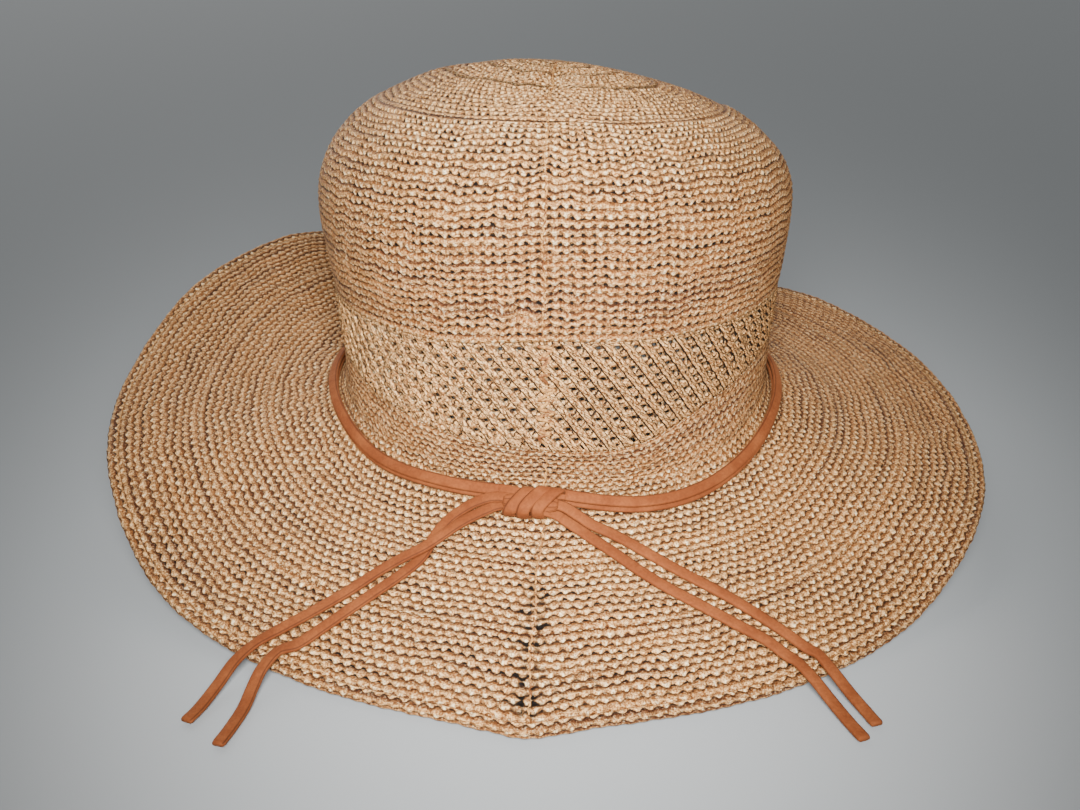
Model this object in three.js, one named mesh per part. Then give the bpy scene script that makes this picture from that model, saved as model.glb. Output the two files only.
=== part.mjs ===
import * as THREE from 'three';

// A knitted sun hat resting on its brim, in millimetres, +Z up. Angles go round the crown from the
// front (-Y) toward +X, in degrees. Every shell is one closed body: an outer surface, an inner
// surface a wall's thickness behind it, and the edges that join them.

// Driving dimensions
const crownWall = 2.0;
const bandWall = 2.2;
const brimWall = 2.0;
const gap = 0.3;
const crownTop = 172.0;
const crownCentreX = 1.0;
const seamAngle = -3;
const seamPoint = 6.0;       // how far the brim's corner at the seam stands out
const seamPointSpread = 6;   // degrees
const edgeLift = 2.2;        // the brim's surface above the resting height of its hem
const hemWidth = 4.8;
const hemHeight = 3.4;
const ribCount = 84;
const ribWidth = 0.62;       // share of the pitch that is rib
const ribSlope = 51;         // degrees below horizontal, toward +X
const slotMargin = 1.6;      // solid edge above and below the gaps
const laceThickness = 1.6;
const tieWidth = 4.0;
const bandLaceWidth = 3.9;
const bandLaceStep = 1.1;    // how much higher up the fillet the band lace's upper run lies
const laceLift = 0.85;       // the lower run's underside above the knit
const bandLaceGap = 0.4;     // between the lower run and the upper one, which lies on it
const hatCentre = new THREE.Vector3(-0.87, -1.64, 0);

const segments = { crown: 48, brim: 64, bandLace: 48 };

// Rings of the dome, from the tip down: half width along X, half depth along Y, how much lower the
// +X side lies than the middle
const domeRings = [
  { z: 171.2, halfWidth: 20.0, halfDepth: 21.0, shift: 1.0, tilt: 1.6 },
  { z: 167.4, halfWidth: 40.5, halfDepth: 42.5, shift: 1.0, tilt: 2.8 },
  { z: 162.4, halfWidth: 56.5, halfDepth: 59.5, shift: 1.0, tilt: 2.9 },
  { z: 155.0, halfWidth: 72.5, halfDepth: 75.5, shift: 1.0, tilt: 2.6 },
  { z: 144.4, halfWidth: 84.8, halfDepth: 88.0, shift: 1.0, tilt: 1.6 },
  { z: 131.5, halfWidth: 90.8, halfDepth: 95.0, shift: 1.0, tilt: 0.8 },
  { z: 118.0, halfWidth: 91.8, halfDepth: 97.2, shift: 1.2, tilt: 0.3 },
  { z: 104.0, halfWidth: 90.2, halfDepth: 96.3, shift: 1.4, tilt: 0.0 },
];

// Plan of the upright wall by height
const wallPlan = [
  { z: 30, halfWidth: 88.6, halfDepth: 96.4, shift: 1.2 },
  { z: 38, halfWidth: 87.8, halfDepth: 95.4, shift: 1.3 },
  { z: 56, halfWidth: 86.6, halfDepth: 94.0, shift: 1.5 },
  { z: 73, halfWidth: 87.0, halfDepth: 94.2, shift: 1.6 },
  { z: 91, halfWidth: 88.3, halfDepth: 95.2, shift: 1.5 },
  { z: 104, halfWidth: 90.2, halfDepth: 96.3, shift: 1.4 },
  { z: 118, halfWidth: 91.8, halfDepth: 97.2, shift: 1.2 },
];

// Heights round the wall: where the openwork starts and ends, and where the brim leaves the crown
const wallHeights = [
  { angle: -180, bandTop: 90.0, bandFoot: 66.0, foot: 38.0 },
  { angle: -140, bandTop: 90.0, bandFoot: 67.0, foot: 41.0 },
  { angle: -100, bandTop: 90.5, bandFoot: 68.0, foot: 45.0 },
  { angle: -68, bandTop: 90.5, bandFoot: 66.0, foot: 42.0 },
  { angle: -45, bandTop: 90.0, bandFoot: 60.0, foot: 36.0 },
  { angle: -25, bandTop: 90.0, bandFoot: 55.5, foot: 36.0 },
  { angle: -3, bandTop: 93.0, bandFoot: 53.5, foot: 36.5 },
  { angle: 18, bandTop: 92.0, bandFoot: 53.5, foot: 35.0 },
  { angle: 40, bandTop: 92.0, bandFoot: 64.0, foot: 35.0 },
  { angle: 62, bandTop: 92.5, bandFoot: 71.0, foot: 40.0 },
  { angle: 95, bandTop: 92.0, bandFoot: 71.0, foot: 45.0 },
  { angle: 140, bandTop: 91.0, bandFoot: 68.0, foot: 41.0 },
];

// The brim's edge, which waves: two low arcs at the front and back, raised sides
const rimHeights = [
  { angle: -180, radius: 173.2, height: 0.0 },
  { angle: -163, radius: 173.8, height: 26.0 },
  { angle: -140, radius: 175.5, height: 73.0 },
  { angle: -115, radius: 176.5, height: 70.0 },
  { angle: -92, radius: 177.8, height: 49.0 },
  { angle: -70, radius: 178.9, height: 31.0 },
  { angle: -52, radius: 176.5, height: 9.0 },
  { angle: -28, radius: 172.0, height: 0.5 },
  { angle: -3, radius: 172.3, height: 0.0 },
  { angle: 28, radius: 171.5, height: 0.3 },
  { angle: 46, radius: 172.2, height: 3.0 },
  { angle: 62, radius: 175.5, height: 17.0 },
  { angle: 85, radius: 176.1, height: 26.0 },
  { angle: 110, radius: 176.8, height: 37.5 },
  { angle: 138, radius: 176.0, height: 45.0 },
  { angle: 160, radius: 174.5, height: 26.0 },
];

// Rows of the brim's surface: negative ones are on the collar, the rest run along the flare
const brimRows = [-1.0, 0.0, 0.1, 0.2, 0.32, 0.5, 0.7, 0.88, 1.0];

// The lace round the crown's foot: how far down the flare the lower run's middle lies, by angle
const bandLacePath = [
  { angle: -358.6, reach: 7.6 },
  { angle: -350, reach: 10.0 },
  { angle: -343, reach: 11.6 },
  { angle: -336, reach: 12.0 },
  { angle: -329, reach: 11.2 },
  { angle: -318, reach: 9.1 },
  { angle: -304, reach: 7.5 },
  { angle: -292, reach: 6.2 },
  { angle: -270, reach: 5.6 },
  { angle: -180, reach: 5.6 },
  { angle: -90, reach: 5.4 },
  { angle: -60, reach: 5.8 },
  { angle: -32, reach: 6.3 },
  { angle: -12.1, reach: 6.6 },
];

// The lace's free ends on the brim: angle, place along the flare, height of the underside above the
// knit; then the points beyond the brim, as centres of the lace
const ties = [
  {
    name: 'tie_left_outer',
    onBrim: [
      { angle: -13.0, place: 0.278, lift: 2.0 },
      { angle: -14.9, place: 0.321, lift: 2.3 },
      { angle: -16.8, place: 0.372, lift: 2.7 },
      { angle: -18.4, place: 0.422, lift: 2.9 },
      { angle: -19.9, place: 0.476, lift: 2.9 },
      { angle: -21.7, place: 0.538, lift: 2.9 },
      { angle: -24.2, place: 0.597, lift: 2.3 },
      { angle: -26.6, place: 0.654, lift: 0.9 },
      { angle: -28.8, place: 0.746, lift: 0.7 },
      { angle: -31.0, place: 0.832, lift: 0.7 },
      { angle: -33.0, place: 0.910, lift: 1.0 },
    ],
    beyond: [
      { x: -94.8, y: -140.9, z: 8.2 },
      { x: -99.6, y: -147.4, z: 6.4 },
      { x: -103.4, y: -155.0, z: 3.0 },
      { x: -106.5, y: -163.8, z: 1.4 },
      { x: -108.8, y: -169.6, z: 1.2 },
    ],
  },
  {
    name: 'tie_left_inner',
    onBrim: [
      { angle: -14.9, place: 0.234, lift: 2.9 },
      { angle: -16.8, place: 0.267, lift: 2.5 },
      { angle: -18.7, place: 0.307, lift: 1.5 },
      { angle: -20.3, place: 0.351, lift: 0.8 },
      { angle: -21.1, place: 0.396, lift: 0.7 },
      { angle: -21.6, place: 0.444, lift: 0.7 },
      { angle: -21.7, place: 0.508, lift: 0.7 },
      { angle: -22.0, place: 0.582, lift: 0.7 },
      { angle: -23.6, place: 0.660, lift: 0.7 },
      { angle: -25.4, place: 0.731, lift: 0.7 },
      { angle: -27.0, place: 0.798, lift: 0.7 },
      { angle: -28.5, place: 0.865, lift: 0.7 },
      { angle: -29.9, place: 0.930, lift: 1.0 },
    ],
    beyond: [
      { x: -86.6, y: -145.0, z: 8.2 },
      { x: -90.4, y: -151.0, z: 6.2 },
      { x: -92.2, y: -156.5, z: 3.4 },
      { x: -93.2, y: -164.0, z: 1.6 },
      { x: -94.8, y: -172.4, z: 1.2 },
      { x: -96.6, y: -179.9, z: 1.2 },
    ],
  },
  {
    name: 'tie_right_upper',
    onBrim: [
      { angle: 2.1, place: 0.270, lift: 2.7 },
      { angle: 4.2, place: 0.315, lift: 2.4 },
      { angle: 6.3, place: 0.355, lift: 1.7 },
      { angle: 8.8, place: 0.387, lift: 1.0 },
      { angle: 11.8, place: 0.438, lift: 0.7 },
      { angle: 16.0, place: 0.535, lift: 0.7 },
      { angle: 19.7, place: 0.626, lift: 0.7 },
      { angle: 23.4, place: 0.720, lift: 0.7 },
      { angle: 26.1, place: 0.808, lift: 0.7 },
      { angle: 27.9, place: 0.880, lift: 0.8 },
      { angle: 29.0, place: 0.935, lift: 1.1 },
    ],
    beyond: [
      { x: 82.0, y: -145.5, z: 7.6 },
      { x: 85.4, y: -151.8, z: 5.6 },
      { x: 89.0, y: -158.3, z: 2.8 },
      { x: 92.0, y: -165.1, z: 1.4 },
      { x: 93.9, y: -171.1, z: 1.2 },
    ],
  },
  {
    name: 'tie_right_lower',
    onBrim: [
      { angle: 0.6, place: 0.301, lift: 0.7 },
      { angle: 2.7, place: 0.346, lift: 0.7 },
      { angle: 4.8, place: 0.391, lift: 0.7 },
      { angle: 7.0, place: 0.440, lift: 0.7 },
      { angle: 9.6, place: 0.499, lift: 0.7 },
      { angle: 12.8, place: 0.582, lift: 0.7 },
      { angle: 16.2, place: 0.664, lift: 0.7 },
      { angle: 19.4, place: 0.736, lift: 0.7 },
      { angle: 22.6, place: 0.815, lift: 0.7 },
      { angle: 25.0, place: 0.880, lift: 0.8 },
      { angle: 26.3, place: 0.938, lift: 1.1 },
    ],
    beyond: [
      { x: 74.6, y: -149.0, z: 7.4 },
      { x: 78.8, y: -155.2, z: 5.2 },
      { x: 82.4, y: -161.6, z: 2.6 },
      { x: 85.8, y: -170.4, z: 1.4 },
      { x: 88.4, y: -177.6, z: 1.2 },
    ],
  },
];

// The knot lies across the front: sections along its length, and three wraps that lean over it
const knot = {
  angle: -5.3, place: 0.235, lift: 1.9, halfLength: 9.8, halfHeight: 5.2, halfDepth: 2.4,
  wraps: 3, lean: 0.75, groove: 0.13, sections: 21, sides: 12,
};

const materials = {
  knit: new THREE.MeshStandardMaterial({ color: 0xb8946f, roughness: 0.9, metalness: 0 }),
  openwork: new THREE.MeshStandardMaterial({ color: 0xc09b74, roughness: 0.9, metalness: 0 }),
  lace: new THREE.MeshStandardMaterial({ color: 0xc07848, roughness: 0.85, metalness: 0 }),
};

const rad = THREE.MathUtils.degToRad;

// Smooth curve through a table's column; slopes come from the neighbours on each side
function through(xs, ys, x) {
  let i = 1;
  while (i < xs.length - 3 && x >= xs[i + 1]) i += 1;
  const slope = (k) => (ys[k + 1] - ys[k - 1]) / (xs[k + 1] - xs[k - 1]);
  const h = xs[i + 1] - xs[i];
  const t = (x - xs[i]) / h;
  const t2 = t * t;
  const t3 = t2 * t;
  return (2 * t3 - 3 * t2 + 1) * ys[i] + (t3 - 2 * t2 + t) * h * slope(i)
    + (3 * t2 - 2 * t3) * ys[i + 1] + (t3 - t2) * h * slope(i + 1);
}

function along(table, key, column, x) {
  const last = table.length - 1;
  const ends = (name) => [2 * table[0][name] - table[1][name], ...table.map((row) => row[name]),
    2 * table[last][name] - table[last - 1][name]];
  return through(ends(key), ends(column), x);
}

function around(table, column, angle) {
  const n = table.length;
  const xs = [];
  const ys = [];
  for (let k = -2; k < n + 2; k += 1) {
    const row = table[(k + n) % n];
    xs.push(row.angle + 360 * Math.floor(k / n));
    ys.push(row[column]);
  }
  const turned = THREE.MathUtils.euclideanModulo(angle - table[0].angle, 360) + table[0].angle;
  let i = 0;
  while (xs[i] < table[0].angle) i += 1;
  return through(xs.slice(i - 1), ys.slice(i - 1), turned);
}

function straight(table, key, column, x) {
  let i = 0;
  while (i < table.length - 2 && x > table[i + 1][key]) i += 1;
  const t = (x - table[i][key]) / (table[i + 1][key] - table[i][key]);
  return THREE.MathUtils.lerp(table[i][column], table[i + 1][column], t);
}

function onDome(angle, row) {
  const value = (column) => along(domeRings.map((ring, k) => ({ ...ring, k })), 'k', column, row);
  const s = Math.sin(rad(angle));
  return new THREE.Vector3(value('shift') + value('halfWidth') * s,
    -value('halfDepth') * Math.cos(rad(angle)), value('z') - value('tilt') * s);
}

function onWall(angle, z) {
  const value = (column) => straight(wallPlan, 'z', column, z);
  return new THREE.Vector3(value('shift') + value('halfWidth') * Math.sin(rad(angle)),
    -value('halfDepth') * Math.cos(rad(angle)), z);
}

// Rows of the plain crown: 0 to 7 on the dome, 7 to 8 down the wall to the openwork
function onCrown(angle, row) {
  if (row < 7) return onDome(angle, row);
  const foot = around(wallHeights, 'bandTop', angle) + gap / 2;
  return onWall(angle, THREE.MathUtils.lerp(104, foot, row - 7));
}

// The openwork: level 0 is its top edge and 1 its foot; the ribs lean toward +X as they go down
function onBand(angle, level) {
  const drop = (a) => around(wallHeights, 'bandTop', a) - around(wallHeights, 'bandFoot', a);
  const lean = THREE.MathUtils.radToDeg(1 / (91 * Math.tan(rad(ribSlope))));
  const turned = angle + level * drop(angle) * lean;
  const top = around(wallHeights, 'bandTop', turned) - gap / 2;
  const foot = around(wallHeights, 'bandFoot', turned) + gap / 2;
  return { angle: turned, z: THREE.MathUtils.lerp(top, foot, level) };
}

function onRim(angle) {
  const off = THREE.MathUtils.euclideanModulo(angle - seamAngle + 180, 360) - 180;
  const radius = around(rimHeights, 'radius', angle)
    + seamPoint * Math.exp(-(Math.abs(off / seamPointSpread) ** 1.5));
  return new THREE.Vector3(radius * Math.sin(rad(angle)), -radius * Math.cos(rad(angle)),
    around(rimHeights, 'height', angle) + edgeLift);
}

// Control points of the flare, from 7 mm up the wall, round the fillet, to the edge
function flare(angle) {
  const foot = onWall(angle, around(wallHeights, 'foot', angle));
  const edge = onRim(angle);
  const out = edge.clone().sub(foot);
  return new THREE.CubicBezierCurve3(
    foot.clone().add(new THREE.Vector3(0, 0, 7)),
    foot.clone().addScaledVector(out, 0.03).add(new THREE.Vector3(0, 0, -4)),
    foot.clone().addScaledVector(out, 0.45).add(new THREE.Vector3(0, 0, 3)),
    edge,
  );
}

function onBrim(angle, place) {
  const curve = flare(angle);
  if (place >= 0) return curve.getPoint(place);
  const top = around(wallHeights, 'bandFoot', angle) - gap / 2;
  return onWall(angle, THREE.MathUtils.lerp(curve.v0.z, top, -place));
}

// A surface point with the directions round it, down or out along it, and square out of it
function frameAt(surface, angle, row, step = 0.02) {
  const point = surface(angle, row);
  const round = surface(angle + 0.5, row).sub(surface(angle - 0.5, row)).normalize();
  const down = surface(angle, row + step).sub(surface(angle, row - step)).normalize();
  const out = down.clone().cross(round).normalize();
  return { point, round, down, out };
}

function behind(surface, angle, row, depth, step) {
  const { point, out } = frameAt(surface, angle, row, step);
  return point.addScaledVector(out, -depth);
}

function toMesh(name, points, faces, material) {
  const volume = faces.reduce((sum, [a, b, c]) => sum
    + points[a].dot(points[b].clone().cross(points[c])), 0);
  const index = volume < 0 ? faces.flatMap(([a, b, c]) => [a, c, b]) : faces.flat();
  const geometry = new THREE.BufferGeometry().setFromPoints(
    points.map((point) => point.clone().sub(hatCentre)));
  geometry.setIndex(index);
  geometry.computeVertexNormals();
  const mesh = new THREE.Mesh(geometry, material);
  mesh.name = name;
  return mesh;
}

// Joins rings of points, each ring closed on itself. The ends meet each other, or close on a tip
function loft(name, rings, ends, material) {
  const n = rings[0].length;
  const points = rings.flat();
  const faces = [];
  const quad = (r, s, k) => {
    const [a, b, c, d] = [r * n + k, s * n + k, s * n + (k + 1) % n, r * n + (k + 1) % n];
    faces.push([a, b, c], [a, c, d]);
  };
  for (let r = 0; r + 1 < rings.length; r += 1) for (let k = 0; k < n; k += 1) quad(r, r + 1, k);
  if (ends === 'meet') {
    for (let k = 0; k < n; k += 1) quad(rings.length - 1, 0, k);
  } else {
    points.push(...ends);
    const last = (rings.length - 1) * n;
    for (let k = 0; k < n; k += 1) {
      faces.push([points.length - 2, k, (k + 1) % n]);
      faces.push([points.length - 1, last + (k + 1) % n, last + k]);
    }
  }
  return toMesh(name, points, faces, material);
}

const angles = (count) => Array.from({ length: count }, (_, k) => -180 + (360 * k) / count);
const middle = (ring) => ring.reduce((sum, p) => sum.add(p), new THREE.Vector3())
  .divideScalar(ring.length);

function makeCrown() {
  const rows = [0, 1, 2, 3, 3.5, 4, 4.5, 5, 6, 7, 8];
  const round = angles(segments.crown);
  const outer = rows.map((row) => round.map((angle) => onCrown(angle, row)));
  const inner = rows.map((row) => round.map((angle) => {
    const { point, out } = frameAt(onCrown, angle, Math.min(row, 7.9), 0.05);
    return (row < 8 ? point : onCrown(angle, row)).addScaledVector(
      row < 7 ? out : new THREE.Vector3(out.x, out.y, 0).normalize(), -crownWall);
  }));
  const tip = new THREE.Vector3(crownCentreX, 0, crownTop);
  const under = tip.clone().add(new THREE.Vector3(0, 0, -crownWall));
  return loft('crown', [...outer, ...inner.reverse()], [tip, under], materials.knit);
}

// Columns are the ribs' two edges in turn, rows are the edges of the gaps and a step between them
function makeOpenwork() {
  const columns = angles(ribCount).flatMap((angle) => [angle, angle + (360 / ribCount) * ribWidth]);
  const levels = [0, 'top', 0.5, 'foot', 1];
  const points = [];
  const faces = [];
  const id = (row, column, side) => (row * columns.length + (column % columns.length)) * 2 + side;
  levels.forEach((level, row) => columns.forEach((angle) => {
    const height = onBand(angle, 0).z - onBand(angle, 1).z;
    const margin = slotMargin / height;
    const share = { top: margin, foot: 1 - margin }[level] ?? level;
    const place = onBand(angle, share);
    const outer = onWall(place.angle, place.z);
    const out = outer.clone().setZ(0).normalize();
    points.push(outer, outer.clone().addScaledVector(out, -bandWall));
  }));
  const quad = (a, b, c, d) => faces.push([a, b, c], [a, c, d]);
  const solid = (row, column) => row === 0 || row === levels.length - 2 || column % 2 === 0;
  for (let row = 0; row + 1 < levels.length; row += 1) {
    for (let k = 0; k < columns.length; k += 1) {
      if (solid(row, k)) {
        quad(id(row, k, 0), id(row + 1, k, 0), id(row + 1, k + 1, 0), id(row, k + 1, 0));
        quad(id(row, k, 1), id(row, k + 1, 1), id(row + 1, k + 1, 1), id(row + 1, k, 1));
        if (row === 0) quad(id(0, k, 1), id(0, k, 0), id(0, k + 1, 0), id(0, k + 1, 1));
        if (row === levels.length - 2) {
          quad(id(row + 1, k, 0), id(row + 1, k, 1), id(row + 1, k + 1, 1), id(row + 1, k + 1, 0));
        }
        if (!solid(row, k + 1)) {
          quad(id(row, k + 1, 0), id(row + 1, k + 1, 0), id(row + 1, k + 1, 1), id(row, k + 1, 1));
          quad(id(row, k, 1), id(row + 1, k, 1), id(row + 1, k, 0), id(row, k, 0));
        }
      } else {
        if (solid(row - 1, k) && row === 1) {
          quad(id(row, k, 0), id(row, k, 1), id(row, k + 1, 1), id(row, k + 1, 0));
        }
        if (row === levels.length - 3) {
          quad(id(row + 1, k, 1), id(row + 1, k, 0), id(row + 1, k + 1, 0), id(row + 1, k + 1, 1));
        }
      }
    }
  }
  return toMesh('openwork_band', points, faces, materials.openwork);
}

// Where the flare stops short of the hem
function hemStart(angle) {
  const { v2, v3 } = flare(angle);
  return 1 - (hemWidth + gap) / (3 * v2.distanceTo(v3));
}

function makeBrim() {
  const round = angles(segments.brim);
  const place = (row, angle) => (row < 0 ? row : row * hemStart(angle));
  const outer = brimRows.map((row) => round.map((angle) => onBrim(angle, place(row, angle))));
  const inner = brimRows.map((row) => round.map((angle) => {
    const { point, out } = frameAt(onBrim, angle, place(Math.max(row, -0.95), angle));
    const level = row < 0 ? out.setZ(0).normalize() : out;
    return (row === -1 ? onBrim(angle, row) : point).addScaledVector(level, -brimWall);
  }));
  return loft('brim', [...outer, ...inner.reverse()], 'meet', materials.knit);
}

function makeHem() {
  const [w, h] = [hemWidth / 2, hemHeight / 2];
  const profile = [[-w, 0.5 * h], [-0.6 * w, h], [0.5 * w, h], [w, 0.35 * h], [w, -0.35 * h],
    [0.5 * w, -h], [-0.6 * w, -h], [-w, -0.5 * h]];
  const rings = profile.map(([across, up]) => angles(segments.brim).map((angle) => {
    const { point, down, out } = frameAt(onBrim, angle, 0.98);
    const edge = onRim(angle);
    return edge.addScaledVector(down, across - w).addScaledVector(out, up - brimWall / 2);
  }));
  return loft('rim_hem', rings, 'meet', materials.knit);
}

// A flat strap with softened corners: width across, thickness out of the surface below it
function strap(name, stations, width) {
  const [w, h] = [width / 2, laceThickness / 2];
  const profile = [[-w, 0.4 * h], [-0.8 * w, h], [0.8 * w, h], [w, 0.4 * h],
    [w, -0.4 * h], [0.8 * w, -h], [-0.8 * w, -h], [-w, -0.4 * h]];
  const rings = stations.map(({ centre, side, up }) => profile.map(([across, rise]) => centre
    .clone().addScaledVector(side, across).addScaledVector(up, rise)));
  return loft(name, rings, [middle(rings[0]), middle(rings.at(-1))], materials.lace);
}

function makeBandLace(name, above, lift, steps) {
  const first = bandLacePath[0].angle;
  const last = bandLacePath.at(-1).angle;
  const stations = Array.from({ length: steps + 1 }, (_, k) => {
    const angle = THREE.MathUtils.lerp(first, last, k / steps);
    const reach = along(bandLacePath, 'angle', 'reach', angle) - above;
    const { point, down, out } = frameAt(onBrim, angle, flare(angle).getUtoTmapping(0, reach));
    return { centre: point.addScaledVector(out, lift + laceThickness / 2), side: down, up: out };
  });
  return strap(name, stations, bandLaceWidth);
}

// The flat side follows the brim underneath, then turns level where the lace lies beyond it
function makeTie({ name, onBrim: rows, beyond }) {
  const points = rows.map(({ angle, place, lift }) => {
    const { point, out } = frameAt(onBrim, angle, place);
    return { point: point.addScaledVector(out, lift + laceThickness / 2), out };
  });
  const level = new THREE.Vector3(0, 0, 1);
  beyond.forEach(({ x, y, z }) => points.push({ point: new THREE.Vector3(x, y, z), out: level }));
  const curve = new THREE.CatmullRomCurve3(points.map(({ point }) => point), false, 'centripetal');
  const count = points.length - 1;
  const stations = Array.from({ length: count + 1 }, (_, k) => {
    const along3 = curve.getTangent(k / count);
    const side = along3.clone().cross(points[k].out).normalize();
    return { centre: points[k].point, side, up: side.clone().cross(along3).normalize() };
  });
  return strap(name, stations, tieWidth);
}

// A rounded bundle along the lace's direction; the wraps show as leaning ridges
function makeKnot() {
  const { point, round, down, out } = frameAt(onBrim, knot.angle, knot.place);
  const centre = point.addScaledVector(out, knot.lift + knot.halfDepth);
  const rings = Array.from({ length: knot.sections }, (_, k) => {
    const x = -1 + (2 * k) / (knot.sections - 1);
    const end = (1 - Math.abs(x) ** 3.2) ** 0.5;
    const body = 0.55 + 0.45 * end;
    return Array.from({ length: knot.sides }, (_, m) => {
      const turn = (2 * Math.PI * m) / knot.sides;
      const wrap = Math.abs(Math.sin((Math.PI / 2) * knot.wraps * (x + 1)
        + knot.lean * Math.cos(turn)));
      const size = body * (1 - knot.groove + knot.groove * wrap);
      return centre.clone().addScaledVector(round, x * knot.halfLength)
        .addScaledVector(down, Math.cos(turn) * knot.halfHeight * size)
        .addScaledVector(out, Math.sin(turn) * knot.halfDepth * size);
    });
  });
  return loft('knot', rings, [middle(rings[0]), middle(rings.at(-1))], materials.lace);
}

const hat = new THREE.Group();
hat.add(
  makeCrown(),
  makeOpenwork(),
  makeBrim(),
  makeHem(),
  makeBandLace('band_lace_upper', bandLaceStep, laceLift + laceThickness + bandLaceGap,
    segments.bandLace),
  makeBandLace('band_lace_lower', 0, laceLift, segments.bandLace),
  makeKnot(),
  ...ties.map(makeTie),
);

export default hat;
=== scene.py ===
import math

import bpy
import numpy as np
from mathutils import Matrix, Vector


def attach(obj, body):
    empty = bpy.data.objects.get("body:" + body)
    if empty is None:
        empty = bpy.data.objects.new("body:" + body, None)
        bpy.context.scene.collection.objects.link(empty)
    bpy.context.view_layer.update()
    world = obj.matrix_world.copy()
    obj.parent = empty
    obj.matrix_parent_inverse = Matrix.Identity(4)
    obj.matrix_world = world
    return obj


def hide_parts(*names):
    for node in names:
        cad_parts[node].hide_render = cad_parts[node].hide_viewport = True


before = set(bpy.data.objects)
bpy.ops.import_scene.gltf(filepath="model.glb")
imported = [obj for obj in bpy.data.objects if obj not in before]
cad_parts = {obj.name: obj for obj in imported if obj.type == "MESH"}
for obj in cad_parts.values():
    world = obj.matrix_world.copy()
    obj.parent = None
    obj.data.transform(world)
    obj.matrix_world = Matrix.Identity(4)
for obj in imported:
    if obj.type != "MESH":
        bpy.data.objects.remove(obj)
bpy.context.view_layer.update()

# Shapes are worked out in millimetres about the crown's axis and moved to the hat's own frame, in
# metres, when a mesh is made. Angles go round from the front (-Y) toward +X, in degrees.
hatCentre = np.array([-0.87, -1.64, 0.0])
seamAngle = -3.0

# The camera, placed as the photograph was taken

cameraSetup = {
    "place": (-0.00393, -0.42076, 0.2064), "pitchDown": 22.5,  # metres; degrees below level
    "lens": 35.4, "sensor": 36.0, "clip": (0.01, 20.0),
}


def makeCamera():
    # stands at its place and looks along +Y, turned down by its pitch; sensor over lens is how much
    # it sees across at a distance of one
    data = bpy.data.cameras.new("camera")
    data.lens = cameraSetup["lens"]
    data.sensor_width = cameraSetup["sensor"]
    data.clip_start, data.clip_end = cameraSetup["clip"]
    camera = bpy.data.objects.new("camera", data)
    camera.location = cameraSetup["place"]
    camera.rotation_euler = (math.radians(90 - cameraSetup["pitchDown"]), 0, 0)
    bpy.context.scene.collection.objects.link(camera)
    bpy.context.scene.camera = camera


makeCamera()
print("camera placed")


# Helpers for shapes

def unit(v):
    # each vector over its own length
    return v / np.maximum(np.linalg.norm(v, axis=-1, keepdims=True), 1e-12)


def smoothStep(x, low, high):
    # 0 below low, 1 above high, 3t^2 - 2t^3 between them
    t = np.clip((x - low) / (high - low), 0, 1)
    return t * t * (3 - 2 * t)


def curveThrough(x, xs, ys, period=None):
    # cubic between neighbouring table rows; the slope at a row is the one between its two neighbours
    x, xs, ys = (np.asarray(a, float) for a in (x, xs, ys))
    if period:
        xe = np.concatenate([xs[-2:] - period, xs, xs[:2] + period])
        ye = np.concatenate([ys[-2:], ys, ys[:2]])
        x = (x - xs[0]) % period + xs[0]
    else:
        xe = np.concatenate([[2 * xs[0] - xs[1]], xs, [2 * xs[-1] - xs[-2]]])
        ye = np.concatenate([[2 * ys[0] - ys[1]], ys, [2 * ys[-1] - ys[-2]]])
    slope = np.zeros_like(ye)
    slope[1:-1] = (ye[2:] - ye[:-2]) / (xe[2:] - xe[:-2])
    i = np.clip(np.searchsorted(xe, x, side="right") - 1, 1, len(xe) - 3)
    h = xe[i + 1] - xe[i]
    t = (x - xe[i]) / h
    return ((2 * t**3 - 3 * t**2 + 1) * ye[i] + (t**3 - 2 * t**2 + t) * h * slope[i]
            + (3 * t**2 - 2 * t**3) * ye[i + 1] + (t**3 - t**2) * h * slope[i + 1])


def lengthAlong(points):
    # distance from the first point down each column: the running sum of the steps' lengths
    steps = np.linalg.norm(np.diff(points, axis=0), axis=-1)
    return np.concatenate([0 * steps[:1], np.cumsum(steps, 0)])


def blunt(wave, power):
    # the wave's own sign times its size to a power; a power below 1 makes a round section squarer
    return np.sign(wave) * np.abs(wave) ** power


def ripple(angle, row, seed, turns=(2, 40), rows=(0.02, 0.5), count=14):
    # sum of sine waves with whole numbers of turns round the hat, scaled to about -1..1
    rng = np.random.default_rng(seed)
    total = 0.0
    for _ in range(count):
        k, f, phase = rng.integers(*turns), rng.uniform(*rows), rng.uniform(0, 2 * np.pi)
        total = total + np.sin(np.radians(angle) * k + 2 * np.pi * f * row * rng.choice([-1, 1]) + phase)
    return total / math.sqrt(count)


def fromSeam(angle):
    # degrees round from the seam, -180..180
    return (angle - seamAngle + 180) % 360 - 180


# The hat's own surfaces, from the same tables as the solid model

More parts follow.
